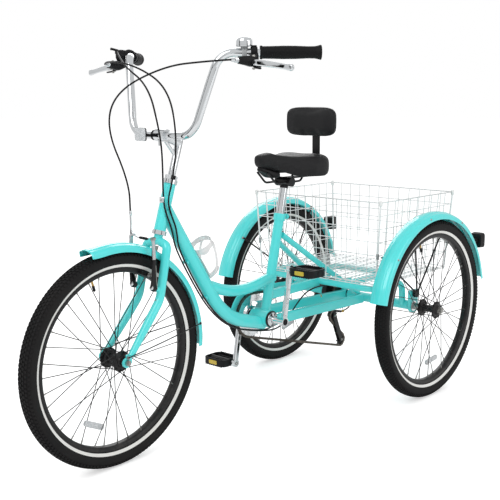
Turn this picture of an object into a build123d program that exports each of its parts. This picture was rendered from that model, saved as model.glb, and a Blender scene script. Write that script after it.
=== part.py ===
from build123d import *
import os
from math import acos, asin, atan2, ceil, cos, degrees, hypot, pi, radians, sin, tan

# Adult tricycle: a steered wheel in front, two wheels behind and a wire basket between them.
# Z is up, the rider faces -Y and the rider's left is +X. The origin is on the ground under the
# middle of the whole. Lengths are millimetres, and "ahead" is a distance in front of the rear axle.

os.makedirs("parts", exist_ok=True)

# ---- driving sizes -------------------------------------------------------------------------
wheelbase = 1093.0
rear_track = 663.6
axle_height = 302.5
tyre_squash = 0.8
tyre_width = 47.4
rear_reach = 330.0
seat_gap = 0.3
run_clearance = 0.05
press_clearance = 0.05

tyre_radius = axle_height + tyre_squash
rear_axle_y = (wheelbase + tyre_radius - rear_reach) / 2
half_track = rear_track / 2


def at(side, ahead, height):
    """A point given by its distance to the rider's left, ahead of the rear axle and up."""
    return Vector(side, rear_axle_y - ahead, height)


def save(piece, name):
    piece.part.label = name
    export_step(piece.part, f"parts/{name}.step")


def rod(start, end, diameter, bore=0.0, mode=Mode.ADD):
    """A straight round bar or tube between two points, inside the current part."""
    run = Vector(end) - Vector(start)
    with BuildSketch(Plane(origin=start, z_dir=run)) as section:
        Circle(diameter / 2)
        if bore:
            Circle(bore / 2, mode=Mode.SUBTRACT)
    extrude(section.sketch, amount=run.length, mode=mode)


def beam(start, end, width, height, corner):
    """A straight bar of rounded rectangular section, its width across the tricycle."""
    run = Vector(end) - Vector(start)
    with BuildSketch(Plane(origin=start, x_dir=(1, 0, 0), z_dir=run)) as section:
        RectangleRounded(width, height, corner)
    extrude(section.sketch, amount=run.length)


def taper(start, end, start_diameter, end_diameter):
    """A straight round bar that narrows from one end to the other."""
    run = Vector(end) - Vector(start)
    with Locations(Plane(origin=(Vector(start) + Vector(end)) * 0.5, z_dir=run).location):
        Cone(start_diameter / 2, end_diameter / 2, run.length)


def bent_rod(points, radii, diameter, bore=0.0, mode=Mode.ADD):
    """A round bar or tube along straight runs joined by tangent arcs."""
    with BuildLine() as route:
        FilletPolyline(*points, radius=radii)
    with BuildPart() as bent:
        for edge in route.edges():
            with BuildSketch(Plane(origin=edge @ 0, z_dir=edge % 0)) as section:
                Circle(diameter / 2)
                if bore:
                    Circle(bore / 2, mode=Mode.SUBTRACT)
            if edge.geom_type == GeomType.CIRCLE:
                centre = edge.arc_center
                spin = (edge @ 0 - centre).cross(edge % 0)
                revolve(section.sketch, axis=Axis(centre, spin), revolution_arc=degrees(edge.length / edge.radius))
            else:
                extrude(section.sketch, amount=edge.length)
    add(bent.part, mode=mode)


def across(point):
    """The plane square to the wheels' axles through a point: x to the rear, y up."""
    return Plane(origin=point, x_dir=(0, 1, 0), z_dir=(1, 0, 0))


def lengthwise(point):
    """The section plane through an axle: x to the rider's left, y up."""
    return Plane(origin=point, x_dir=(1, 0, 0), z_dir=(0, -1, 0))


def turned(centre, profile, mode=Mode.ADD):
    """A body of revolution about an axle: profile holds (side offset, radius) corners."""
    with BuildSketch(lengthwise(centre)) as section:
        with BuildLine():
            Polyline(*profile, close=True)
        make_face()
    revolve(section.sketch, axis=Axis(centre, (1, 0, 0)), mode=mode)


def ring(centre, side_from, side_to, outer_radius, inner_radius):
    turned(centre, [(side_from, inner_radius), (side_to, inner_radius),
                    (side_to, outer_radius), (side_from, outer_radius)])


# ---- wheels --------------------------------------------------------------------------------
rim_outer_radius = 256.0
rim_inner_radius = 243.0
rim_width = 26.0
rim_well_width = 18.0
tyre_shoulder_drop = 14.0
tread_width = 30.0
spoke_count = 36
spoke_diameter = 2.2
spoke_crossings = 3
flange_gap = 54.0
flange_thickness = 3.0
flange_radius = 29.0
spoke_circle_radius = 24.5
hub_half_length = 36.0
barrel_radius = 13.0
outer_spoke_seat = 5.5
inner_spoke_seat = 2.0
valve_diameter = 8.0
valve_length = 34.0
valve_turn = 17.0
reflector_radius = 186.0
reflector_length = 72.0
reflector_height = 17.0

front_axle_diameter = 9.5
rear_axle_diameter = 15.0

front_hub_centre = at(0, wheelbase, axle_height)
left_hub_centre = at(half_track, 0, axle_height)
right_hub_centre = at(-half_track, 0, axle_height)


def wheel_point(centre, side, radius, turn):
    """A point of a wheel: turn is the angle from straight up towards the front, in degrees."""
    return centre + Vector(side, -radius * sin(radians(turn)), radius * cos(radians(turn)))


def make_tyre(name, centre):
    seat = rim_outer_radius + seat_gap
    side_wall = tyre_radius - tyre_shoulder_drop
    half_tread = tread_width / 2
    with BuildPart() as tyre:
        turned(centre, [
            (-rim_width / 2, seat),
            (-tyre_width / 2, side_wall - tyre_shoulder_drop),
            (-tyre_width / 2, side_wall),
            (-half_tread, tyre_radius),
            (half_tread, tyre_radius),
            (tyre_width / 2, side_wall),
            (tyre_width / 2, side_wall - tyre_shoulder_drop),
            (rim_width / 2, seat),
        ])
        split(bisect_by=Plane.XY)
    save(tyre, name)


def make_rim(name, centre):
    with BuildPart() as rim:
        turned(centre, [
            (-rim_width / 2, rim_outer_radius),
            (rim_width / 2, rim_outer_radius),
            (rim_well_width / 2, rim_inner_radius),
            (-rim_well_width / 2, rim_inner_radius),
        ])
        rod(wheel_point(centre, 0, rim_inner_radius + 2, valve_turn),
            wheel_point(centre, 0, rim_inner_radius - valve_length, valve_turn), valve_diameter)
    save(rim, name)


def spoke_lateral(side, outside, share):
    """Side offset of a spoke at a share of its way from the hub to the rim."""
    stand = (flange_thickness + spoke_diameter) / 2 + 0.15
    at_hub = flange_gap / 2 + (stand if outside else -stand)
    at_rim = outer_spoke_seat if outside else inner_spoke_seat
    return side * (at_hub + (at_rim - at_hub) * share)


def spoke_ends(centre, side, outside, rim_turn):
    lead = (1 if outside else -1) * spoke_crossings * 720 / spoke_count
    start = wheel_point(centre, spoke_lateral(side, outside, 0), spoke_circle_radius, rim_turn + lead)
    end = wheel_point(centre, spoke_lateral(side, outside, 1), rim_inner_radius - seat_gap, rim_turn)
    return start, end


def make_hub(centre, bore_radius):
    inner = flange_gap / 2 - flange_thickness / 2
    outer = flange_gap / 2 + flange_thickness / 2
    collar = barrel_radius + 3
    turned(centre, [
        (-hub_half_length, bore_radius), (hub_half_length, bore_radius),
        (hub_half_length, collar), (outer, collar), (outer, flange_radius),
        (inner, flange_radius), (inner, barrel_radius), (-inner, barrel_radius),
        (-inner, flange_radius), (-outer, flange_radius), (-outer, collar),
        (-hub_half_length, collar),
    ])


def make_spokes(name, centre, bore_radius, reflector_turn):
    rim_step = 360 / spoke_count
    with BuildPart() as spokes:
        make_hub(centre, bore_radius)
        for side in (-1, 1):
            for outside in (True, False):
                first = (0 if side > 0 else rim_step) + (0 if outside else 2 * rim_step)
                pairs = [spoke_ends(centre, side, outside, first + 4 * rim_step * k)
                         for k in range(spoke_count // 4)]
                run = (pairs[0][1] - pairs[0][0]).length
                with BuildSketch(*[Plane(origin=a, z_dir=b - a) for a, b in pairs]):
                    Rectangle(spoke_diameter * 0.8, spoke_diameter * 0.8)
                extrude(amount=run)
        reach = hypot(reflector_radius + reflector_height / 2, reflector_length / 2)
        share = (reach - spoke_circle_radius / 2) / (rim_inner_radius - spoke_circle_radius / 2)
        half_thick = spoke_lateral(1, False, share) - spoke_diameter / 2 - seat_gap
        middle = wheel_point(centre, -half_thick, reflector_radius, reflector_turn)
        outward = (middle - centre + Vector(half_thick, 0, 0)).normalized()
        with BuildSketch(Plane(origin=middle, x_dir=outward.cross(Vector(1, 0, 0)), z_dir=(1, 0, 0))):
            SlotOverall(reflector_length, reflector_height)
        extrude(amount=2 * half_thick)
    save(spokes, name)


front_bore_radius = front_axle_diameter / 2 + run_clearance
rear_bore_radius = rear_axle_diameter / 2 + press_clearance
for wheel, centre, bore_radius, reflector_turn in (
    ("front", front_hub_centre, front_bore_radius, 155.0),
    ("left", left_hub_centre, rear_bore_radius, 187.0),
    ("right", right_hub_centre, rear_bore_radius, 195.0),
):
    make_tyre(f"{wheel}_tyre", centre)
    make_rim(f"{wheel}_rim", centre)
    make_spokes(f"{wheel}_hub_and_spokes", centre, bore_radius, reflector_turn)

# ---- front axle ----------------------------------------------------------------------------
dropout_gap = 96.0
dropout_thickness = 5.0
cone_radius = 8.0
nut_size = 15.0
nut_height = 8.0

with BuildPart() as front_axle:
    nut_outer = dropout_gap / 2 + dropout_thickness + seat_gap + nut_height
    tip = Vector(nut_outer + 2, 0, 0)
    rod(front_hub_centre - tip, front_hub_centre + tip, front_axle_diameter)
    for side in (-1, 1):
        near = side * (hub_half_length + seat_gap)
        far = side * (dropout_gap / 2 - press_clearance)
        ring(front_hub_centre, near, far, cone_radius, front_axle_diameter / 4)
        face = front_hub_centre + Vector(side * (dropout_gap / 2 + dropout_thickness + press_clearance), 0, 0)
        with BuildSketch(Plane(origin=face, z_dir=(side, 0, 0))):
            RegularPolygon(nut_size / 2, 6, major_radius=False)
        extrude(amount=nut_height)
save(front_axle, "front_axle")

# ---- frame ---------------------------------------------------------------------------------
head_angle = 72.0
head_middle_ahead = 897.5
head_middle_height = 705.5
head_tube_length = 136.0
head_tube_diameter = 34.0
head_tube_bore = 30.2
steerer_diameter = 25.4
cup_diameter = 41.0
cup_height = 12.0

crank_ahead = 478.0
crank_height = 306.0
shell_length = 70.0
shell_diameter = 56.0
shell_bore = 51.4

seat_angle = 77.2
seat_tube_top_ahead = 393.0
seat_tube_top_height = 637.0
seat_tube_diameter = 32.0
seat_post_diameter = 27.0

down_tube_diameter = 43.0
down_tube_bore = 39.0
brace_tube_diameter = 35.0
brace_tube_bore = 31.0


def on_head(height):
    """The point of the steering axis at a height."""
    return at(0, head_middle_ahead + (head_middle_height - height) / tan(radians(head_angle)), height)


head_up = Vector(0, cos(radians(head_angle)), sin(radians(head_angle)))
head_middle = on_head(head_middle_height)
head_bottom = head_middle - head_up * (head_tube_length / 2)
head_top = head_middle + head_up * (head_tube_length / 2)
crank_centre = at(0, crank_ahead, crank_height)
seat_up = Vector(0, cos(radians(seat_angle)), sin(radians(seat_angle)))
seat_tube_top = at(0, seat_tube_top_ahead, seat_tube_top_height)
seat_tube_foot = seat_tube_top - seat_up * ((seat_tube_top_height - crank_height) / sin(radians(seat_angle)))
shell_end = Vector(shell_length / 2, 0, 0)

with BuildPart() as head_tube:
    rod(head_bottom, head_top, head_tube_diameter, head_tube_bore)
save(head_tube, "head_tube")

down_tube_route = [on_head(head_middle_height - 4), at(0, 663, 338.6), at(0, crank_ahead, 288.0)]
cable_stand_off = 28.0
cable_diameter = 5.0
guide_heights = (548.0, 430.0)
down_run = (down_tube_route[1] - down_tube_route[0]).normalized()
under_tube = Vector(0, down_run.Z, -down_run.Y)
brace_route = [at(0, 736, 455), at(0, 600, 402), at(0, 430, 434)]
with BuildPart() as main_tubes:
    bent_rod(brace_route, [330], brace_tube_diameter, brace_tube_bore)
    bent_rod(down_tube_route, [250], down_tube_diameter, mode=Mode.SUBTRACT)
    bent_rod(down_tube_route, [250], down_tube_diameter, down_tube_bore)
    for height in guide_heights:
        middle = down_tube_route[0] + down_run * ((height - down_tube_route[0].Z) / down_run.Z)
        beam(middle + under_tube * (down_tube_diameter / 2 - 1),
             middle + under_tube * (cable_stand_off - cable_diameter / 2 - seat_gap), 20, 9, 2)
    rod(head_bottom, head_top, head_tube_diameter, mode=Mode.SUBTRACT)
    rod(seat_tube_foot, seat_tube_top, seat_tube_diameter, mode=Mode.SUBTRACT)
    rod(crank_centre - shell_end, crank_centre + shell_end, shell_diameter, mode=Mode.SUBTRACT)
save(main_tubes, "down_and_brace_tubes")

with BuildPart() as seat_tube:
    rod(seat_tube_foot, seat_tube_top, seat_tube_diameter, seat_post_diameter + 2 * run_clearance)
    rod(crank_centre - shell_end, crank_centre + shell_end, shell_diameter)
    rod(crank_centre - shell_end, crank_centre + shell_end, shell_bore, mode=Mode.SUBTRACT)
save(seat_tube, "seat_tube")

# ---- rear frame: stays, axle housing and the platform under the basket ----------------------
stay_corner = 4.0
seat_stay_diameter = 19.0
housing_diameter = 32.0
housing_bore = 26.0
plate_thickness = 11.0
plate_width = 46.0
plate_head = 358.0
bearing_diameter = 35.0
middle_bearing_side = -14.0
inner_bearing_side = -112.0
outer_bearing_side = 266.0
platform_diameter = 22.0
platform_height = 383.5
platform_half_width = 230.0
platform_front = 190.0
platform_back = -78.0
platform_rail = 110.0
axle_centre = at(0, 0, axle_height)


def plate(side, spare=0.0, mode=Mode.ADD):
    """A bearing plate square to the axle, rounded below and square on top."""
    reach = plate_head - axle_height
    with BuildSketch(across(axle_centre + Vector(side - plate_thickness / 2, 0, 0))) as section:
        Circle(plate_width / 2 + spare)
        with Locations((0, reach / 2)):
            Rectangle(plate_width + 2 * spare, reach)
    extrude(section.sketch, amount=plate_thickness, mode=mode)


housings = ((middle_bearing_side, outer_bearing_side), (-outer_bearing_side, inner_bearing_side))
bearing_sides = (middle_bearing_side, inner_bearing_side, outer_bearing_side, -outer_bearing_side)


left_seat_stay = (at(9, 392, 568), at(44, 8, 314))
right_seat_stay = (at(-9, 386, 538), at(-128, -4, 318))


def cut_housings():
    for low, high in housings:
        rod(at(low, 0, axle_height), at(high, 0, axle_height), housing_diameter, mode=Mode.SUBTRACT)


def cut_frame_tubes():
    rod(seat_tube_foot, seat_tube_top, seat_tube_diameter, mode=Mode.SUBTRACT)
    rod(crank_centre - shell_end, crank_centre + shell_end, shell_diameter, mode=Mode.SUBTRACT)


with BuildPart() as rear_frame:
    for low, high in housings:
        rod(at(low, 0, axle_height), at(high, 0, axle_height), housing_diameter)
    for side in bearing_sides:
        plate(side)
    beam(at(middle_bearing_side, 440, 322), at(middle_bearing_side, 18, 305), 18, 32, stay_corner)
    beam(at(22, 440, 295), at(62, 12, 300), 18, 32, stay_corner)
    rod(*left_seat_stay, seat_stay_diameter)
    rod(*right_seat_stay, seat_stay_diameter)
    cut_frame_tubes()
    for side in bearing_sides:
        rod(at(side - plate_thickness, 0, axle_height), at(side + plate_thickness, 0, axle_height),
            bearing_diameter, mode=Mode.SUBTRACT)
    for low, high in housings:
        rod(at(low, 0, axle_height), at(high, 0, axle_height), housing_bore, mode=Mode.SUBTRACT)
save(rear_frame, "rear_frame")

with BuildPart() as basket_platform:
    left_front = at(platform_half_width, platform_front, platform_height)
    right_front = at(-platform_half_width, platform_front, platform_height)
    side_tube = [at(platform_half_width, 10, axle_height), at(platform_half_width, 14, platform_height),
                 at(platform_half_width, platform_front, platform_height)]
    bent_rod(side_tube + [Vector(-p.X, p.Y, p.Z) for p in reversed(side_tube)], [34, 40, 40, 34],
             platform_diameter)
    rail = [at(platform_rail, platform_front, platform_height), at(platform_rail, platform_back, platform_height)]
    bent_rod(rail + [Vector(-p.X, p.Y, p.Z) for p in reversed(rail)], [36, 36], platform_diameter)
    beam(at(0, 440, 376), at(0, platform_front, platform_height - 4), 18, 30, stay_corner)
    for stay in (left_seat_stay, right_seat_stay):
        rod(*stay, seat_stay_diameter, mode=Mode.SUBTRACT)
    cut_housings()
    cut_frame_tubes()
save(basket_platform, "basket_platform")

# ---- bearings, headset cups and seat clamp --------------------------------------------------
crank_bearing_bore = 22.0 + 2 * run_clearance

with BuildPart() as bearings:
    for side in bearing_sides:
        ring(axle_centre, side - plate_thickness / 2, side + plate_thickness / 2, bearing_diameter / 2,
             rear_axle_diameter / 2 + run_clearance)
    ring(axle_centre, 6, 6 + plate_thickness, housing_bore / 2, rear_axle_diameter / 2 + run_clearance)
    for end, way in ((head_bottom, -1), (head_top, 1)):
        rod(end, end + head_up * (way * cup_height), cup_diameter, steerer_diameter + 2 * run_clearance)
    for hand in (-1, 1):
        rod(crank_centre + shell_end * hand, crank_centre + shell_end * (0.72 * hand), shell_bore,
            crank_bearing_bore)
save(bearings, "bearings")

clamp_height = 22.0
clamp_wall = 3.5
seat_clamp_base = seat_tube_top - seat_up * clamp_height
with BuildPart() as seat_clamp:
    rod(seat_clamp_base, seat_tube_top, seat_tube_diameter + 2 * clamp_wall, seat_tube_diameter + 2 * press_clearance)
    ear = seat_clamp_base + seat_up * (clamp_height / 2) + Vector(0, seat_tube_diameter / 2 + 9, 0)
    with BuildSketch(Plane(origin=ear - seat_up * 9, x_dir=(1, 0, 0), z_dir=seat_up)) as ears:
        with Locations((-6, 0), (6, 0)):
            Rectangle(7, 16)
    extrude(ears.sketch, amount=18)
    rod(ear - Vector(16, 0, 0), ear + Vector(16, 0, 0), 6)
    rod(ear + Vector(10, 0, 0), ear + Vector(16, 0, 0), 11)
    rod(seat_clamp_base, seat_tube_top, seat_tube_diameter + 2 * press_clearance, mode=Mode.SUBTRACT)
save(seat_clamp, "seat_clamp")

# ---- fork, stem and handlebar ---------------------------------------------------------------
stem_diameter = 22.2
bar_diameter = 22.2
locknut_height = 12.0
blade_diameter = 25.0
blade_tip_diameter = 18.0
dropout_side = dropout_gap / 2 + dropout_thickness / 2
steerer_top = head_top + head_up * (cup_height + locknut_height + 1)
locknut_base = head_top + head_up * (cup_height + seat_gap)
brake_forward = Vector(0, -sin(radians(head_angle)), cos(radians(head_angle)))
boss_length = 38.0
boss_diameter = 16.0
boss_pin = 8.0
boss_root_side = 42.0


def boss_root(hand):
    return at(hand * boss_root_side, 957, 482)


with BuildPart() as fork:
    rod(on_head(612), steerer_top, steerer_diameter)
    for hand in (-1, 1):
        bend = at(hand * 44, 962, 455)
        tip = at(hand * dropout_side, 1078, 318)
        knee = bend + (tip - bend) * 0.35
        bent_rod([at(hand * 3, 926, 614), at(hand * 43, 930, 603), bend, knee], [16, 80], blade_diameter)
        taper(knee, tip, blade_diameter, blade_tip_diameter)
        with BuildSketch(across(front_hub_centre + Vector(hand * dropout_side - dropout_thickness / 2, 0, 0))) as plates:
            Circle(14)
            with Locations((8, 9)):
                Rectangle(18, 26)
        extrude(plates.sketch, amount=dropout_thickness)
        rod(boss_root(hand), boss_root(hand) + brake_forward * (boss_length - 18), boss_diameter)
        rod(boss_root(hand), boss_root(hand) + brake_forward * boss_length, boss_pin)
    rod(on_head(700), steerer_top, stem_diameter + 2 * press_clearance, mode=Mode.SUBTRACT)
    inner_face = dropout_gap / 2
    with Locations(Location(front_hub_centre)):
        Cylinder(18, 2 * inner_face, rotation=(0, 90, 0), mode=Mode.SUBTRACT)
        Cylinder(front_axle_diameter / 2 + press_clearance, 3 * inner_face, rotation=(0, 90, 0), mode=Mode.SUBTRACT)
save(fork, "fork")

with BuildPart() as headset_nut:
    with BuildSketch(Plane(origin=locknut_base, z_dir=head_up)) as nut:
        RegularPolygon(17, 8, major_radius=False)
        Circle(steerer_diameter / 2 + press_clearance, mode=Mode.SUBTRACT)
    extrude(nut.sketch, amount=locknut_height)
save(headset_nut, "headset_nut")

bar_clamp = at(0, 902, 908)
stem_corner = on_head(884)
clamp_half = 20.0
with BuildPart() as stem:
    rod(on_head(712), on_head(893), stem_diameter)
    rod(on_head(893), on_head(897), 14)
    rod(stem_corner, bar_clamp, 25)
    rod(on_head(846), at(0, 896, 898), 11)
    rod(bar_clamp - Vector(clamp_half, 0, 0), bar_clamp + Vector(clamp_half, 0, 0), 35)
    rod(bar_clamp - Vector(clamp_half + 1, 0, 0), bar_clamp + Vector(clamp_half + 1, 0, 0),
        bar_diameter + 2 * press_clearance, mode=Mode.SUBTRACT)
    rod(at(0, 911, 880), at(0, 911, 896), 9)
save(stem, "stem")


def mirrored(points):
    """The points of one side followed back from the rider's right to the rider's left."""
    return [Vector(-p.X, p.Y, p.Z) for p in reversed(points)] + list(points)


bar_low_corner = at(122, 902, 908)
bar_high_corner = at(184, 860, 1130)
bar_end = at(370, 665, 1131)
with BuildPart() as handlebar:
    bent_rod(mirrored([bar_low_corner, bar_high_corner, bar_end]), [55, 60, 60, 55], bar_diameter)
save(handlebar, "handlebar")

grip_run = (bar_end - bar_high_corner).normalized()
grip_start = 108.0
grip_end = (bar_end - bar_high_corner).length
grip_diameter = 32.0
grip_flare = 40.0
collar_place = 92.0


def mirror_point(point, hand):
    return Vector(point.X * hand, point.Y, point.Z)


def on_bar(hand, along):
    return mirror_point(bar_high_corner + grip_run * along, hand)


with BuildPart() as grips:
    for hand in (-1, 1):
        rod(on_bar(hand, grip_start), on_bar(hand, grip_end), grip_diameter)
        rod(on_bar(hand, grip_end - 5), on_bar(hand, grip_end + 3), grip_flare)
        rod(on_bar(hand, grip_start), on_bar(hand, grip_start + 4), grip_diameter + 4)
        rod(on_bar(hand, grip_start - 1), on_bar(hand, grip_end + seat_gap), bar_diameter + 2 * press_clearance,
            mode=Mode.SUBTRACT)
save(grips, "grips")

# ---- brake levers, shifter, bell and front reflector ----------------------------------------
outward_run = Vector(-grip_run.Y, grip_run.X, 0) * -1
if outward_run.X < 0:
    outward_run = outward_run * -1
lever_pin_diameter = 5.0
lever_eye = 14.0
lever_thickness = 9.0
fork_ear = 4.0


def lever_point(hand, along, outward, up):
    """A point by the collar of a brake lever: along the bar, outward from it and up."""
    return mirror_point(bar_high_corner + grip_run * (collar_place + along) + outward_run * outward
                        + Vector(0, 0, up), hand)


up = Vector(0, 0, 1)
lever_pivot_place = (-5, 58, -27)
shift_place = (-6, 34, 10)


def upright(point, low, high, diameter, mode=Mode.ADD):
    rod(point + up * low, point + up * high, diameter, mode=mode)


with BuildPart() as lever_brackets:
    for hand in (-1, 1):
        rod(lever_point(hand, -8, 0, 0), lever_point(hand, 8, 0, 0), 31)
        pivot = lever_point(hand, *lever_pivot_place)
        ear_mid = lever_thickness / 2 + seat_gap + fork_ear / 2
        for level in (-ear_mid, ear_mid):
            beam(lever_point(hand, -3, 32, lever_pivot_place[2] + level), pivot + up * level, 14, fork_ear, 1)
            upright(pivot, level - fork_ear / 2, level + fork_ear / 2, lever_eye)
        beam(lever_point(hand, 0, 8, -14), lever_point(hand, -3, 37, -27), 16, 22, 3)
        beam(lever_point(hand, -3, 34, -21), lever_point(hand, -44, 66, -22), 12, 12, 3)
        rod(lever_point(hand, -42, 65, -22), lever_point(hand, -64, 72, -21), 10)
        upright(pivot, -ear_mid - 3, ear_mid + 3, lever_pin_diameter)
        rod(lever_point(hand, -9, 0, 0), lever_point(hand, 9, 0, 0), bar_diameter + 2 * press_clearance,
            mode=Mode.SUBTRACT)
    upright(lever_point(-1, *shift_place), -32, -seat_gap, 14)
save(lever_brackets, "lever_brackets")

pivot = lever_point(1, *lever_pivot_place)
with BuildPart() as left_lever:
    upright(pivot, -lever_thickness / 2, lever_thickness / 2, lever_eye)
    bent_rod([pivot, lever_point(1, 10, 78, -30), lever_point(1, 83, 138, -43)], [30], lever_thickness - 1)
    with Locations(Location(lever_point(1, 83, 138, -43))):
        Sphere(7)
    upright(pivot, -lever_thickness, lever_thickness, lever_pin_diameter + 2 * run_clearance, mode=Mode.SUBTRACT)
save(left_lever, "left_brake_lever")

with BuildPart() as right_lever:
    mirror(left_lever.part, about=Plane.YZ)
save(right_lever, "right_brake_lever")

bell_centre = Vector(230, on_bar(1, 66).Y, 1157)
striker_pivot = bell_centre + Vector(-20, 16, -16)
striker_half = 2.0
lug_thickness = 3.0
lug = striker_pivot - up * (striker_half + seat_gap + lug_thickness / 2)
with BuildPart() as bell:
    upright(bell_centre, -11, 14, 43)
    fillet(bell.edges().sort_by(Axis.Z)[-1], 12)
    upright(bell_centre, -15.6, -10, 20)
    rod(on_bar(1, 60), on_bar(1, 72), 29)
    beam(lug + outward_run * 14, lug, 8, lug_thickness, 1)
    upright(lug, -lug_thickness / 2, lug_thickness / 2, 8)
    rod(on_bar(1, 59), on_bar(1, 73), bar_diameter + 2 * press_clearance, mode=Mode.SUBTRACT)
save(bell, "bell")

with BuildPart() as bell_striker:
    upright(striker_pivot, -striker_half, striker_half, 8)
    beam(striker_pivot, striker_pivot + Vector(-14, 22, 0), 3.5, 2 * striker_half, 1)
save(bell_striker, "bell_striker")

with BuildPart() as shift_lever:
    shift_pivot = lever_point(-1, *shift_place)
    upright(shift_pivot, 0, 12, 34)
    beam(shift_pivot + up * 9, shift_pivot + up * 9 + mirror_point(grip_run * -8 - outward_run * 26, -1), 7, 6, 2)
save(shift_lever, "shift_lever")

with BuildPart() as front_reflector:
    rod(bar_clamp - Vector(24, 0, 0), bar_clamp - Vector(34, 0, 0), 29)
    beam(bar_clamp - Vector(29, 14, 0) + Vector(0, 2, 0), at(-40, 936, 910), 12, 4, 1)
    with Locations(Location(at(-46, 940, 911))):
        Box(34, 8, 36)
    rod(bar_clamp - Vector(15, 0, 0), bar_clamp - Vector(60, 0, 0), bar_diameter + 2 * press_clearance,
        mode=Mode.SUBTRACT)
save(front_reflector, "front_reflector")

# ---- brake arms at the fork -----------------------------------------------------------------
root = boss_root(1) + brake_forward * (boss_length - 18 + seat_gap)
pad_face = at(15.2, 985, 526.8)
pad_reach = pad_face - front_hub_centre - Vector(pad_face.X, 0, 0)
pad_length = 50.0
with BuildPart() as left_arm:
    rod(root, root + brake_forward * 14, boss_diameter + 2)
    beam(root + brake_forward * 8.5, at(46, 985, 627), 9, 15, 3)
    with BuildSketch(Plane(origin=pad_face, x_dir=(0, pad_reach.Z, -pad_reach.Y), z_dir=(1, 0, 0))) as pad:
        RectangleRounded(pad_length, 10, 3)
    extrude(pad.sketch, amount=9)
    rod(pad_face + Vector(8, 0, 0), pad_face + Vector(29, 0, 0), 7)
    rod(root + brake_forward * 20, root - brake_forward, boss_pin + 2 * run_clearance, mode=Mode.SUBTRACT)
save(left_arm, "left_brake_arm")

with BuildPart() as right_arm:
    mirror(left_arm.part, about=Plane.YZ)
save(right_arm, "right_brake_arm")

# ---- fenders --------------------------------------------------------------------------------
fender_width = 60.0
fender_drop = 24.0
fender_wall = 1.6
rear_fender_radius = 331.0
front_fender_radius = 324.0


def fender(centre, radius, width, first_turn, last_turn):
    """A ridged mudguard round a wheel, between two turns from straight up towards the front."""
    half = width / 2
    side = [(half, radius - fender_drop), (half - 3, radius - 9), (half * 0.45, radius - 2)]
    lining = [(x - fender_wall, r - (fender_wall if x < half else 0)) for x, r in side]
    outline = side + [(0, radius)] + [(-x, r) for x, r in reversed(side)]
    outline += [(-x, r) for x, r in lining] + [(0, radius - fender_wall)] + lining[::-1]
    start = radians(first_turn)
    plane = Plane(origin=centre, x_dir=(1, 0, 0), z_dir=Vector(0, -cos(start), -sin(start)))
    with BuildSketch(plane) as section:
        with BuildLine():
            Polyline(*outline, close=True)
        make_face()
    revolve(section.sketch, axis=Axis(centre, (1, 0, 0)), revolution_arc=last_turn - first_turn)


with BuildPart() as rear_fenders:
    for centre in (left_hub_centre, right_hub_centre):
        fender(centre, rear_fender_radius, fender_width, -79, 77.5)
save(rear_fenders, "rear_fenders")

stay_rod = 6.0
with BuildPart() as front_fender:
    fender(front_hub_centre, front_fender_radius, 56, -94, 16)
    beam(wheel_point(front_hub_centre, 0, front_fender_radius - 1, -28.2),
         wheel_point(front_hub_centre, 0, front_fender_radius + 13.4, -28.2), 26, 3, 1)
save(front_fender, "front_fender")

with BuildPart() as fender_stays:
    for hand in (-1, 1):
        fixing = at(hand * 282, 0, 347)
        wheel_middle = left_hub_centre if hand > 0 else right_hub_centre
        plate_foot = at(hand * (outer_bearing_side + plate_thickness / 2 + seat_gap), 0, 347)
        rod(plate_foot, plate_foot + Vector(hand * 12, 0, 0), 26)
        for turn in (50, 10, -28):
            edge = wheel_point(wheel_middle, -hand * (fender_width / 2 + stay_rod / 2 + seat_gap),
                               rear_fender_radius - 12, turn)
            rod(fixing, edge, stay_rod)
save(fender_stays, "fender_stays")

with BuildPart() as rear_reflectors:
    for hand in (-1, 1):
        with Locations(Location(at(hand * half_track, -315, 500))):
            Box(50, 30, 54)
        with Locations(Location(at(hand * half_track, -278, 500))):
            Box(24, 50, 20)
        wheel_middle = left_hub_centre if hand > 0 else right_hub_centre
        half = Vector(40, 0, 0)
        rod(wheel_middle - half, wheel_middle + half, 2 * (rear_fender_radius + seat_gap), mode=Mode.SUBTRACT)
save(rear_reflectors, "rear_reflectors")

# ---- rear axles -----------------------------------------------------------------------------
axle_end = 381.8
inner_shaft_ends = {1: 6.0, -1: -6.0}
for side_name, hand in (("left", 1), ("right", -1)):
    with BuildPart() as shaft:
        rod(at(inner_shaft_ends[hand], 0, axle_height), at(hand * axle_end, 0, axle_height), rear_axle_diameter)
        collar_from = hand * (outer_bearing_side + plate_thickness / 2 + seat_gap)
        collar_to = hand * (half_track - hub_half_length - press_clearance)
        rod(at(collar_from, 0, axle_height), at(collar_to, 0, axle_height), 22)
        face = at(hand * (half_track + hub_half_length + press_clearance), 0, axle_height)
        with BuildSketch(Plane(origin=face, z_dir=(hand, 0, 0))) as nut:
            RegularPolygon(11, 6, major_radius=False)
        extrude(nut.sketch, amount=9)
    save(shaft, f"{side_name}_axle")

# ---- crank, pedals, sprockets and chain -----------------------------------------------------
chain_pitch = 12.7
chain_side = -46.6
ring_teeth = 36
driven_teeth = 20
jockey_teeth = 11
sprocket_sizes = (28, 24, 22, 20, 18, 16)
sprocket_spacing = 5.2
sprocket_thickness = 2.0
tooth_rise = 2.5
tooth_drop = 5.5
roller_size = 4.4
roller_length = 4.5
link_wall = 0.8
link_height = 7.4
link_gap = 0.05
upper_jockey_centre = at(chain_side, 35, 222)
lower_jockey_centre = at(chain_side, -8, 124)
driven_centre = at(chain_side, 0, axle_height)
chainring_centre = at(chain_side, crank_ahead, crank_height)


def pitch_radius(teeth):
    return chain_pitch / (2 * sin(pi / teeth))


def on_circle(centre, radius, angle):
    return centre + Vector(0, radius * cos(angle), radius * sin(angle))


def bearing_of(centre, point):
    return atan2((point - centre).Z, (point - centre).Y)


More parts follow.
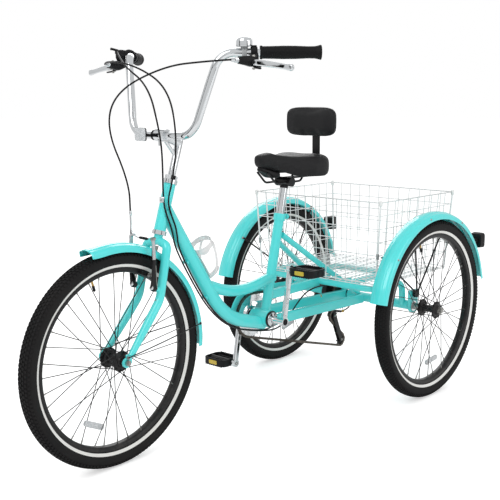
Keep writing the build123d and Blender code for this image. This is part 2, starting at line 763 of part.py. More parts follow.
def tangent(start, end):
    """The straight run of chain between two wheels, each given as (centre, teeth, hand)."""
    (c1, teeth1, hand1), (c2, teeth2, hand2) = start, end
    gap = c2 - c1
    reach1 = hand1 * pitch_radius(teeth1)
    reach2 = hand2 * pitch_radius(teeth2)
    angle = atan2(gap.Z, gap.Y) - acos((reach1 - reach2) / gap.length)
    return on_circle(c1, reach1, angle), on_circle(c2, reach2, angle)


def lay_chain(wheels):
    """The roller centres round the drive, and the angle of a roller on each toothed wheel."""
    runs = [tangent(wheels[i], wheels[(i + 1) % len(wheels)]) for i in range(len(wheels))]
    points = []
    angles = []
    left_over = 0.0
    for i, (centre, teeth, hand) in enumerate(wheels):
        step = 2 * pi / teeth
        entry = bearing_of(centre, runs[i - 1][1])
        wrap = (hand * (bearing_of(centre, runs[i][0]) - entry)) % (2 * pi)
        turn = left_over / pitch_radius(teeth)
        angles.append(entry + hand * turn)
        while turn < wrap:
            points.append(on_circle(centre, pitch_radius(teeth), entry + hand * turn))
            turn += step
        start, end = runs[i]
        along = (turn - wrap) * pitch_radius(teeth)
        pitch = chain_pitch
        length = (end - start).length
        if i == len(wheels) - 1:
            links = round((length - along) / chain_pitch)
            links += (len(points) + links) % 2
            pitch = (length - along) / links
        while along < length - pitch / 100:
            points.append(start + (end - start).normalized() * along)
            along += pitch
        left_over = along - length
    return points, angles


drive = ((chainring_centre, ring_teeth, 1), (lower_jockey_centre, jockey_teeth, 1),
         (upper_jockey_centre, jockey_teeth, -1), (driven_centre, driven_teeth, 1))
rollers, roller_angles = lay_chain(drive)
print("chain rollers", len(rollers), "last pitch", round((rollers[0] - rollers[-1]).length, 2))


def toothed_disc(centre, teeth, angle, thickness, bore_diameter):
    """A toothed wheel with a valley at the given angle for the chain's roller."""
    valley = pitch_radius(teeth) - tooth_drop
    tip = pitch_radius(teeth) + tooth_rise
    corners = []
    for k in range(teeth):
        turn = angle + 2 * pi * k / teeth
        corners.append((valley * cos(turn), valley * sin(turn)))
        corners.append((tip * cos(turn + pi / teeth), tip * sin(turn + pi / teeth)))
    with BuildSketch(across(centre - Vector(thickness / 2, 0, 0))) as section:
        with BuildLine():
            Polyline(*corners, close=True)
        make_face()
        Circle(bore_diameter / 2, mode=Mode.SUBTRACT)
    extrude(section.sketch, amount=thickness)


crank_length = 170.0
spindle_diameter = 22.0
crank_lean = 10.0
left_arm_side = 90.0
right_arm_side = -96.0
arm_thickness = 13.0
arm_width = 20.0
pedal_axle = 12.0
pedal_side = 160.0
pedal_width = 96.0
crank_reach = Vector(0, sin(radians(crank_lean)), cos(radians(crank_lean))) * crank_length

with BuildPart() as crank:
    rod(crank_centre + Vector(left_arm_side - 6, 0, 0), crank_centre + Vector(right_arm_side + 6, 0, 0),
        spindle_diameter)
    for arm_side, outward in ((left_arm_side, 1), (right_arm_side, -1)):
        arm_root = crank_centre + Vector(arm_side, 0, 0)
        eye = arm_root + crank_reach * outward
        beam(arm_root, eye, arm_thickness, arm_width, 5)
        half = Vector(arm_thickness / 2, 0, 0)
        rod(arm_root - half, arm_root + half, 30)
        rod(eye - half, eye + half, 25)
        rod(eye, eye + Vector(outward * (pedal_side + pedal_width / 2 - abs(arm_side) - 6), 0, 0), pedal_axle)
    cone = crank_centre + Vector(shell_length / 2 + 1.5, 0, 0)
    rod(cone, cone + Vector(6, 0, 0), 46)
    rod(crank_centre - Vector(shell_length / 2 + 1.5, 0, 0), crank_centre - Vector(shell_length / 2 + 6, 0, 0), 40)
save(crank, "crank")

with BuildPart() as chainring:
    toothed_disc(chainring_centre, ring_teeth, roller_angles[0], 2.2, spindle_diameter + 2 * press_clearance)
    with BuildSketch(across(chainring_centre - Vector(2, 0, 0))) as windows:
        with PolarLocations(38, 5):
            SlotOverall(30, 15, rotation=90)
    extrude(windows.sketch, amount=4, mode=Mode.SUBTRACT)
save(chainring, "chainring")

guard_side = -56.0
guard_thickness = 2.0
guard_inner_radius = 70.0
guard_outer_radius = 94.0
guard_front_low = -12.0
guard_tail = [(0, guard_inner_radius), (0, guard_outer_radius), (205, 81), (262, 65.5), (345, 60),
              (354, 54), (350, 44), (330, 40)]
with BuildPart() as chain_guard:
    guard_plane = across(at(guard_side, crank_ahead, crank_height))
    with BuildSketch(guard_plane) as section:
        Circle(guard_outer_radius)
        Circle(guard_inner_radius, mode=Mode.SUBTRACT)
        with Locations((-guard_outer_radius / 2, (guard_outer_radius + guard_front_low) / 2)):
            Rectangle(guard_outer_radius, guard_outer_radius - guard_front_low, mode=Mode.INTERSECT)
        with BuildLine():
            Polyline(*guard_tail, close=True)
        make_face()
    extrude(section.sketch, amount=-guard_thickness)
    rod(at(guard_side - 1, 448.7, 392), at(-12, 448.7, 392), 8)
    rod(at(guard_side - 1, 206, 368), at(-9 - seat_gap, 206, 368), 6)
    rod(seat_tube_foot, seat_tube_top, seat_tube_diameter + 2 * seat_gap, mode=Mode.SUBTRACT)
save(chain_guard, "chain_guard")

for side_name, hand in (("left", 1), ("right", -1)):
    middle = crank_centre + Vector(hand * pedal_side, 0, 0) + crank_reach * hand
    with BuildPart() as pedal:
        with Locations(Location(middle)):
            Box(pedal_width, 28, 22)
            for end in (-1, 1):
                with Locations((0, end * 30, 0)):
                    Box(pedal_width, 20, 26)
                for edge in (-1, 1):
                    with Locations((edge * (pedal_width / 2 - 5), end * 16, 0)):
                        Box(10, 12, 20)
        reach = Vector(pedal_width, 0, 0)
        rod(middle - reach, middle + reach, pedal_axle + 2 * run_clearance, mode=Mode.SUBTRACT)
    save(pedal, f"{side_name}_pedal")

with BuildPart() as freewheel:
    driven_place = sprocket_sizes.index(driven_teeth)
    for k, teeth in enumerate(sprocket_sizes):
        place = driven_centre + Vector((driven_place - k) * sprocket_spacing, 0, 0)
        toothed_disc(place, teeth, roller_angles[3], sprocket_thickness, 34)
    ring(driven_centre, (driven_place + 0.8) * sprocket_spacing, (driven_place - 5.8) * sprocket_spacing, 17.2,
         rear_axle_diameter / 2 + run_clearance)
save(freewheel, "freewheel")

for name, centre, angle in (("upper_jockey", upper_jockey_centre, roller_angles[2]),
                            ("lower_jockey", lower_jockey_centre, roller_angles[1])):
    with BuildPart() as jockey:
        toothed_disc(centre, jockey_teeth, angle, sprocket_thickness, 6 + 2 * run_clearance)
        ring(centre, -3.4, 3.4, 8, 3 + run_clearance)
    save(jockey, name)


def link_plate(middle, run, side):
    long = (chain_pitch + link_height) / 2
    tall = link_height / 2
    plane = Plane(origin=middle + Vector(side, 0, 0), x_dir=run, z_dir=(1, 0, 0))
    with BuildSketch(plane) as section:
        with BuildLine():
            Polyline((long, 1.2), (long - 2.4, tall), (2.4 - long, tall), (-long, 1.2),
                     (-long, -1.2), (2.4 - long, -tall), (long - 2.4, -tall), (long, -1.2), close=True)
        make_face()
    return Solid.extrude(section.sketch.face(), Vector(link_wall, 0, 0))


links = []
inner_side = roller_length / 2 + link_gap
outer_side = inner_side + link_wall + link_gap
for i, roller in enumerate(rollers):
    following = rollers[(i + 1) % len(rollers)]
    middle = (roller + following) * 0.5
    near = inner_side if i % 2 else outer_side
    for side in (near, -near - link_wall):
        links.append(link_plate(middle, following - roller, side))
    with BuildSketch(Plane(origin=roller - Vector(roller_length / 2, 0, 0), x_dir=following - roller,
                           z_dir=(1, 0, 0))) as pin:
        Rectangle(roller_size, roller_size)
    links.append(Solid.extrude(pin.sketch.face(), Vector(roller_length, 0, 0)))
chain = Compound(children=links, label="chain")
export_step(chain, "parts/chain.step")

# ---- derailleur -----------------------------------------------------------------------------
cage_inner = 5.0
cage_wall = 2.0
cage_width = 19.0
hanger_centre = at(-66, 30, 250)

with BuildPart() as derailleur:
    hanger_face = inner_bearing_side + plate_thickness / 2 + seat_gap + 2
    beam(at(hanger_face, 4, 284), at(hanger_face, 30, 250), 4, 18, 1)
    rod(at(hanger_face - 2, 30, 250), hanger_centre, 12)
    body_end = upper_jockey_centre - Vector(cage_inner + cage_wall + seat_gap + 6, 0, 0)
    beam(hanger_centre + Vector(2, 0, 0), body_end + Vector(-1, 0, 0), 12, 16, 3)
    rod(body_end - Vector(8, 0, 0), body_end + Vector(6, 0, 0), 18)
    rod(at(-64, 28, 236), at(-58, -28, 224), 9)
save(derailleur, "derailleur")

with BuildPart() as derailleur_cage:
    slope = lower_jockey_centre - upper_jockey_centre
    for side in (cage_inner, -cage_inner - cage_wall):
        middle = (lower_jockey_centre + upper_jockey_centre) * 0.5 + Vector(side, 0, 0)
        with BuildSketch(Plane(origin=middle, x_dir=slope, z_dir=(1, 0, 0))) as section:
            SlotCenterToCenter(slope.length, cage_width)
        extrude(section.sketch, amount=cage_wall)
    for centre in (upper_jockey_centre, lower_jockey_centre):
        rod(centre - Vector(cage_inner, 0, 0), centre + Vector(cage_inner, 0, 0), 6)
save(derailleur_cage, "derailleur_cage")

# ---- rear brake -----------------------------------------------------------------------------
with BuildPart() as rear_brake:
    turned(axle_centre, [(-70, 8.5), (-70, 40), (-73, 48), (-92, 48), (-92, 8.5)])
    for ahead, height in ((-16, axle_height + 30), (-10, axle_height - 16)):
        rod(at(-92, ahead, height), at(inner_bearing_side + plate_thickness / 2 + seat_gap, ahead, height), 7)
    brake_pivot = at(-92, 14, 336)
    rod(brake_pivot, brake_pivot - Vector(10.5, 0, 0), 7)
save(rear_brake, "rear_brake")

with BuildPart() as rear_brake_arm:
    arm_root = brake_pivot - Vector(7, 0, 0)
    beam(arm_root, arm_root + Vector(0, -30, 24), 4, 11, 1)
    rod(arm_root - Vector(3, 0, 0), arm_root + Vector(3, 0, 0), 15)
    rod(arm_root - Vector(4, 0, 0), arm_root + Vector(4, 0, 0), 7 + 2 * run_clearance, mode=Mode.SUBTRACT)
save(rear_brake_arm, "rear_brake_arm")

# ---- seat -----------------------------------------------------------------------------------
seat_post_top = seat_tube_top + seat_up * 84
rail_diameter = 7.0
rail_side = 22.0
saddle_bottom = 778.0
saddle_length = 260.0
backrest_ahead = 207.0
backrest_bar = 5.0

with BuildPart() as seat_post:
    rod(seat_tube_top - seat_up * 190, seat_post_top, seat_post_diameter)
save(seat_post, "seat_post")

with BuildPart() as saddle_frame:
    clamp_centre = seat_post_top + seat_up * 22
    rod(clamp_centre - Vector(32, 0, 0), clamp_centre + Vector(32, 0, 0), 30)
    rod(seat_post_top + seat_up * seat_gap, clamp_centre, 27)
    for hand in (-1, 1):
        bent_rod([at(hand * rail_side, 478, saddle_bottom - 2), at(hand * rail_side, 440, 740),
                  at(hand * rail_side, 316, 740), at(hand * rail_side, 288, saddle_bottom - 2)],
                 [24, 20], rail_diameter)
    beam(at(0, 372, 752), at(0, 262, 752), 30, backrest_bar, 1)
    bar_bend = at(0, backrest_ahead, 810)
    beam(at(0, 264, 752), bar_bend, 30, backrest_bar, 1)
    beam(bar_bend + Vector(0, 1, -1), at(0, backrest_ahead, 915), 30, backrest_bar, 1)
save(saddle_frame, "saddle_frame")

saddle_height = 58.0
skirt_bottom = 747.0
skirt_wall = 9.0
skirt_front = 425.0
rear_notch = 80.0
with BuildSketch() as plan:
    with BuildLine():
        left_edge = [at(26, 507, 0), at(34, 440, 0), at(70, 385, 0), at(112, 335, 0), at(118, 295, 0), at(102, 262, 0),
                     at(66, 246, 0)]
        outline = [(p.X, p.Y) for p in left_edge] + [(-p.X, p.Y) for p in reversed(left_edge)]
        Polyline(*outline, close=True)
    make_face()
    fillet(plan.vertices(), 14)
with BuildSketch() as under_side:
    add(plan.sketch)
    offset(amount=-skirt_wall)
    with Locations(at(0, skirt_front + saddle_length / 2, 0)):
        Rectangle(saddle_length, saddle_length)
    with Locations(at(0, 246, 0)):
        Rectangle(rear_notch, rear_notch)
with BuildPart() as saddle:
    lowest = Location((0, 0, skirt_bottom))
    extrude(plan.sketch.moved(lowest), amount=saddle_bottom + saddle_height - skirt_bottom)
    extrude(under_side.sketch.moved(lowest), amount=saddle_bottom - skirt_bottom, mode=Mode.SUBTRACT)
    fillet(saddle.edges().filter_by_position(Axis.Z, saddle_bottom + 50, saddle_bottom + 70), 15)
save(saddle, "saddle")

backrest_depth = 34.0
with BuildPart() as backrest_pad:
    with Locations(Location(at(0, backrest_ahead + backrest_bar / 2 + seat_gap + backrest_depth / 2, 930))):
        Box(198, backrest_depth, 100)
    fillet(backrest_pad.edges(), 14)
save(backrest_pad, "backrest_pad")

# ---- basket ---------------------------------------------------------------------------------
wire = 2.7
basket_floor_height = 396.0
basket_rim_height = 676.0
wire_gap = 0.05


def basket_corner(side, end, height):
    """A corner of the basket at a height; side and end are +1 or -1 for left and front."""
    share = (height - basket_floor_height) / (basket_rim_height - basket_floor_height)
    ahead = (200 + 9 * share) if end > 0 else -(230 + 12 * share)
    return at(side * (248 + 19 * share), ahead, height)


def wires(pairs, size):
    """Square wires of one length between pairs of points."""
    with BuildSketch(*[Plane(origin=a, z_dir=b - a) for a, b in pairs]) as section:
        Rectangle(size, size)
    extrude(section.sketch, amount=(pairs[0][1] - pairs[0][0]).length)


first_row = 457.5
row_count = 6
row_step = (basket_rim_height - first_row) / (row_count - 1)
basket_rows = [basket_floor_height + 10] + [first_row + row_step * k for k in range(row_count)]
wall_ends = (((1, 1), (-1, 1)), ((-1, 1), (-1, -1)), ((-1, -1), (1, -1)), ((1, -1), (1, 1)))
with BuildPart() as basket_walls:
    for first, last in wall_ends:
        low = basket_corner(*first, basket_floor_height + wire), basket_corner(*last, basket_floor_height + wire)
        high = basket_corner(*first, basket_rim_height), basket_corner(*last, basket_rim_height)
        count = round((high[1] - high[0]).length / 44.5)
        middle = (high[0] + high[1]) * 0.5
        inward = (Vector(0, rear_axle_y + 15, middle.Z) - middle).normalized() * (wire + wire_gap)
        wires([(low[0] + (low[1] - low[0]) * (k / count) + inward,
                high[0] + (high[1] - high[0]) * (k / count) + inward) for k in range(1, count)], wire)
        for height in basket_rows:
            a, b = basket_corner(*first, height), basket_corner(*last, height)
            trim = (b - a).normalized() * 7
            wires([(a + trim, b - trim)], wire)
    for side in (-1, 1):
        for end in (-1, 1):
            foot = basket_corner(side, end, basket_floor_height)
            head = basket_corner(side, end, basket_rim_height + 4)
            rod(foot, head, 6)
            rod(head - (head - foot).normalized() * 14, head + (head - foot).normalized() * 3, 12)
save(basket_walls, "basket_walls")

with BuildPart() as basket_floor:
    left_front = basket_corner(1, 1, basket_floor_height)
    right_back = basket_corner(-1, -1, basket_floor_height)
    sides = left_front.X - right_back.X - 12
    ends = right_back.Y - left_front.Y - 12
    start = Vector(right_back.X + 6, left_front.Y + 6, basket_floor_height)
    wires([(start + Vector(0, ends * k / 9, 0), start + Vector(sides, ends * k / 9, 0))
           for k in range(10) if k != 1], wire)
    lift = Vector(0, 0, wire + wire_gap)
    wires([(start + lift + Vector(sides * k / 10, 0, 0), start + lift + Vector(sides * k / 10, ends, 0))
           for k in range(11)], wire)
save(basket_floor, "basket_floor")

# ---- bottle cage and cables -----------------------------------------------------------------
with BuildPart() as bottle_cage:
    cage_up = (on_head(head_middle_height - 4) - at(0, 663, 338.6)).normalized()
    cage_out = Vector(0, cage_up.Z, -cage_up.Y)
    cage_foot = at(0, 742, 461) + cage_out * (down_tube_diameter / 2 + 34.9)
    for along in (0, 115):
        centre = cage_foot + cage_up * along
        with BuildSketch(Plane(origin=centre - cage_up * 2, x_dir=(1, 0, 0), z_dir=cage_up)) as hoop:
            Circle(35)
            Circle(32, mode=Mode.SUBTRACT)
        extrude(hoop.sketch, amount=4)
    for side in (-14, 14):
        base = cage_foot - cage_out * 30 + Vector(side, 0, 0)
        rod(base - cage_up * 2, base + cage_up * 117, 5)
save(bottle_cage, "bottle_cage")

lever_barrel = (-65.4, 72.4, -21)
front_brake_route = [lever_point(1, *lever_barrel), at(214, 930, 1106), at(60, 945, 1096), at(-95, 985, 1030),
                     at(-122, 1003, 930), at(-62, 975, 780), at(-47, 984, 690), at(-46, 985, 627.6)]
gear_route = [lever_point(-1, -23, 41.5, 16), at(-112, 948, 1104), at(-6, 944, 1046), at(20, 930, 920),
              at(25, 925, 850), at(12, 914, 724), at(23, 911, 684), at(20, 890, 645), at(-6, 851, 567),
              at(-6, 681, 314), at(-6, 465, 255), at(-12, 400, 266), at(-34, 220, 262), at(-63, 70, 262.5),
              at(-63, -45, 262.5), at(-62, -82, 250), at(-60, -84, 226), at(-58.2, -29.6, 224)]
rear_brake_route = [lever_point(-1, *lever_barrel), at(-190, 946, 1116), at(-60, 945, 1102), at(56, 927, 1040),
                    at(86, 925, 905), at(64, 925, 785), at(21, 906, 726), at(27, 897, 684), at(28, 879, 645),
                    at(6, 851, 567), at(6, 681, 314), at(6, 465, 255), at(8, 380, 262), at(14, 300, 345),
                    at(16, 240, 368), at(10, 130, 362), at(-40, 80, 368), at(-99, 48, 362.5)]
largest_bend = 278.0


def bend_radii(route):
    """The largest radius that fits at each corner of a cable, up to one limit."""
    radii = []
    for before, corner, after in zip(route, route[1:], route[2:]):
        turn = (corner - before).get_angle(after - corner)
        shorter = min((corner - before).length, (after - corner).length)
        radii.append(round(min(0.45 * shorter / tan(radians(turn / 2)), largest_bend), 1))
    return radii


def cable(route, name):
    radii = bend_radii(route)
    with BuildLine() as line:
        FilletPolyline(*route, radius=radii)
    with BuildPart() as piece:
        bent_rod(route, radii, cable_diameter)
    length = sum(edge.length for edge in line.edges())
    ratio = piece.part.volume / (length * pi * cable_diameter ** 2 / 4)
    print(name, "length", round(length), "radii", radii, "volume ratio", round(ratio, 4))
    save(piece, name)


cable(front_brake_route, "front_brake_cable")
cable(gear_route, "gear_cable")
cable(rear_brake_route, "rear_brake_cable")
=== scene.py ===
import math
import bmesh
import bpy
from mathutils import Matrix, Vector
from mathutils.bvhtree import BVHTree


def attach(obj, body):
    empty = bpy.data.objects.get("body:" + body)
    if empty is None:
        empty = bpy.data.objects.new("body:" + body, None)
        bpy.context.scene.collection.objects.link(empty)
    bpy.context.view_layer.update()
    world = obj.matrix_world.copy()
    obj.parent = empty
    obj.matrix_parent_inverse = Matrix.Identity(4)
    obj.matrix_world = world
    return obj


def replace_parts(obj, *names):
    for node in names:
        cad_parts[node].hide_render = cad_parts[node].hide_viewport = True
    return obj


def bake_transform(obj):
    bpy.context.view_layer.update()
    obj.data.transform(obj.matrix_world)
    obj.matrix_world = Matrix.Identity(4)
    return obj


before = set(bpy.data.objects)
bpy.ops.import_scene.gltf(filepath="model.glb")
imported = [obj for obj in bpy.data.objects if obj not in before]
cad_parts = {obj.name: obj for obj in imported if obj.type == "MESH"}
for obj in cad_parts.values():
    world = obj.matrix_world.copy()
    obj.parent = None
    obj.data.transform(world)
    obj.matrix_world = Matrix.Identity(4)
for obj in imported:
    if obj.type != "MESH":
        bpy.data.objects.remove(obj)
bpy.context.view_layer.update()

# An adult tricycle. Lengths are metres; "ahead" is measured forward from the rear axle in millimetres,
# "side" to the rider's left and "up" from the ground.
rearAxleY = 0.53315
axleHeight, halfTrack = 302.5, 331.8
bottomBracket = (478, 306)
hands = ((1, "left"), (-1, "right"))


def at(side, ahead, up):
    return Vector((side / 1000, rearAxleY - ahead / 1000, up / 1000))


wheels = {
    "front": {"centre": at(0, 1093, axleHeight), "body": "front_wheel", "valve": 17, "reflector": 155},
    "left": {"centre": at(halfTrack, 0, axleHeight), "body": "left_wheel", "valve": 17, "reflector": 187},
    "right": {"centre": at(-halfTrack, 0, axleHeight), "body": "right_wheel", "valve": 17, "reflector": 195},
}


# shader groups

def linear(red, green, blue):  # written as it looks on a screen, 0 to 255
    levels = (((c / 255 + 0.055) / 1.055) ** 2.4 if c > 10 else c / 255 / 12.92 for c in (red, green, blue))
    return (*levels, 1)


def addSocket(tree, name, kind, direction, value=None):
    socket = tree.interface.new_socket(name=name, in_out=direction, socket_type="NodeSocket" + kind)
    if value is not None:
        socket.default_value = value
    return socket


def feed(tree, socket, value):  # a link where value is a socket, a plain number otherwise
    if isinstance(value, bpy.types.NodeSocket):
        tree.links.new(value, socket)
    elif value is not None:
        socket.default_value = value


def addMath(tree, operation, a, b=None):
    node = tree.nodes.new("ShaderNodeMath")
    node.operation = operation
    for socket, value in zip(node.inputs, (a, b)):
        feed(tree, socket, value)
    return node.outputs[0]


def addMix(tree, factor, a, b):
    node = tree.nodes.new("ShaderNodeMix")
    node.data_type = "RGBA"
    feed(tree, node.inputs[0], factor)
    feed(tree, node.inputs[6], a)
    feed(tree, node.inputs[7], b)
    return node.outputs[2]


def addRange(tree, value, low, high, toLow=0.0, toHigh=1.0):
    node = tree.nodes.new("ShaderNodeMapRange")
    for socket, number in zip(node.inputs, (value, low, high, toLow, toHigh)):
        feed(tree, socket, number)
    return node.outputs[0]


def addNoise(tree, vector, scale, detail=3.0, roughness=0.55):
    node = tree.nodes.new("ShaderNodeTexNoise")
    feed(tree, node.inputs["Vector"], vector)
    feed(tree, node.inputs["Scale"], scale)
    feed(tree, node.inputs["Detail"], detail)
    feed(tree, node.inputs["Roughness"], roughness)
    return node.outputs[0]


def addCells(tree, vector, scale, feature="DISTANCE_TO_EDGE"):
    node = tree.nodes.new("ShaderNodeTexVoronoi")
    node.feature = feature
    feed(tree, node.inputs["Vector"], vector)
    feed(tree, node.inputs["Scale"], scale)
    return node.outputs[0]


def newShaderGroup(name, inputs, outputs):
    tree = bpy.data.node_groups.new(name, "ShaderNodeTree")
    for label, kind, value in inputs:
        addSocket(tree, label, kind, "INPUT", value)
    for label, kind in outputs:
        addSocket(tree, label, kind, "OUTPUT")
    return tree, tree.nodes.new("NodeGroupInput"), tree.nodes.new("NodeGroupOutput")


def objectPlace(tree):
    return tree.nodes.new("ShaderNodeTexCoord").outputs["Object"]


def makeHandledGroup():  # slow colour drift, small scuffs and a fine surface height
    tree, given, out = newShaderGroup("handledSurface", [
        ("Colour", "Color", (0.5, 0.5, 0.5, 1)), ("Worn colour", "Color", (0.6, 0.6, 0.6, 1)),
        ("Drift", "Float", 0.3), ("Scuffs", "Float", 0.2), ("Grain scale", "Float", 400.0),
        ("Roughness low", "Float", 0.3), ("Roughness high", "Float", 0.5)],
                                      [("Colour", "Color"), ("Roughness", "Float"), ("Height", "Float")])
    place = objectPlace(tree)
    slow = addNoise(tree, place, 7.0, 4.0)
    fine = addNoise(tree, place, given.outputs["Grain scale"], 2.0)
    scratchy = addNoise(tree, place, 60.0, 6.0, 0.75)
    scuff = addMath(tree, "MULTIPLY", addRange(tree, scratchy, 0.6, 0.72), given.outputs["Scuffs"])
    drifted = addMath(tree, "MULTIPLY", addRange(tree, slow, 0.35, 0.7), given.outputs["Drift"])
    colour = addMix(tree, addMath(tree, "MAXIMUM", scuff, drifted), given.outputs["Colour"],
                    given.outputs["Worn colour"])
    tree.links.new(colour, out.inputs["Colour"])
    spread = addRange(tree, addMath(tree, "ADD", addMath(tree, "MULTIPLY", slow, 0.6), scuff), 0.2, 0.9,
                      given.outputs["Roughness low"], given.outputs["Roughness high"])
    tree.links.new(spread, out.inputs["Roughness"])
    tree.links.new(addMath(tree, "ADD", fine, addMath(tree, "MULTIPLY", scuff, -0.5)), out.inputs["Height"])
    return tree


def makePebbleGroup():  # leather-like vinyl grain and moulded speckle
    tree, given, out = newShaderGroup("pebbleGrain", [("Scale", "Float", 700.0), ("Creases", "Float", 0.4)],
                                      [("Height", "Float")])
    place = objectPlace(tree)
    warp = tree.nodes.new("ShaderNodeVectorMath")
    warp.operation = "ADD"
    shake = tree.nodes.new("ShaderNodeTexNoise")
    shake.inputs["Scale"].default_value = 90.0
    scaled = tree.nodes.new("ShaderNodeVectorMath")
    scaled.operation = "SCALE"
    scaled.inputs["Scale"].default_value = 0.004
    tree.links.new(place, shake.inputs["Vector"])
    tree.links.new(shake.outputs["Color"], scaled.inputs[0])
    tree.links.new(place, warp.inputs[0])
    tree.links.new(scaled.outputs[0], warp.inputs[1])
    cells = addCells(tree, warp.outputs[0], given.outputs["Scale"])
    pebble = addRange(tree, cells, 0.0, 0.28)
    crease = addMath(tree, "MULTIPLY", addRange(tree, addNoise(tree, place, 45.0, 5.0, 0.7), 0.45, 0.6),
                     given.outputs["Creases"])
    tree.links.new(addMath(tree, "SUBTRACT", pebble, crease), out.inputs["Height"])
    return tree


def makeDustGroup():  # road dust gathers towards the ground
    tree, given, out = newShaderGroup("roadDust", [("Colour", "Color", (0.5, 0.5, 0.5, 1)),
                                                   ("Amount", "Float", 0.25)],
                                      [("Colour", "Color")])
    place = objectPlace(tree)
    split = tree.nodes.new("ShaderNodeSeparateXYZ")
    tree.links.new(place, split.inputs[0])
    low = addRange(tree, split.outputs["Z"], 0.45, 0.05)
    speckle = addRange(tree, addNoise(tree, place, 35.0, 6.0, 0.7), 0.42, 0.68)
    mask = addMath(tree, "MULTIPLY", addMath(tree, "MULTIPLY", low, speckle), given.outputs["Amount"])
    tree.links.new(addMix(tree, mask, given.outputs["Colour"], linear(150, 143, 132)), out.inputs["Colour"])
    return tree


handledSurface = makeHandledGroup()
pebbleGrain = makePebbleGroup()
roadDust = makeDustGroup()


def addGroup(tree, group, **values):
    node = tree.nodes.new("ShaderNodeGroup")
    node.node_tree = group
    for name, value in values.items():
        feed(tree, node.inputs[name.replace("_", " ")], value)
    return node


def newMaterial(name, **settings):
    material = bpy.data.materials.new(name)
    material.use_nodes = True
    shader = material.node_tree.nodes["Principled BSDF"]
    for key, value in settings.items():
        shader.inputs[key.replace("_", " ")].default_value = value
    return material, material.node_tree, shader


def addBump(tree, shader, height, distance):
    bump = tree.nodes.new("ShaderNodeBump")
    bump.inputs["Distance"].default_value = distance
    tree.links.new(height, bump.inputs["Height"])
    tree.links.new(bump.outputs[0], shader.inputs["Normal"])


def handledMaterial(name, colour, worn, drift, scuffs, grain, roughness, depth, dust=0.0, **settings):
    material, tree, shader = newMaterial(name, **settings)
    surface = addGroup(tree, handledSurface, Colour=linear(*colour), Worn_colour=linear(*worn), Drift=drift,
                       Scuffs=scuffs, Grain_scale=grain, Roughness_low=roughness[0],
                       Roughness_high=roughness[1])
    colourOut = surface.outputs["Colour"]
    if dust:
        colourOut = addGroup(tree, roadDust, Colour=colourOut, Amount=dust).outputs["Colour"]
    tree.links.new(colourOut, shader.inputs["Base Color"])
    tree.links.new(surface.outputs["Roughness"], shader.inputs["Roughness"])
    addBump(tree, shader, surface.outputs["Height"], depth)
    return material


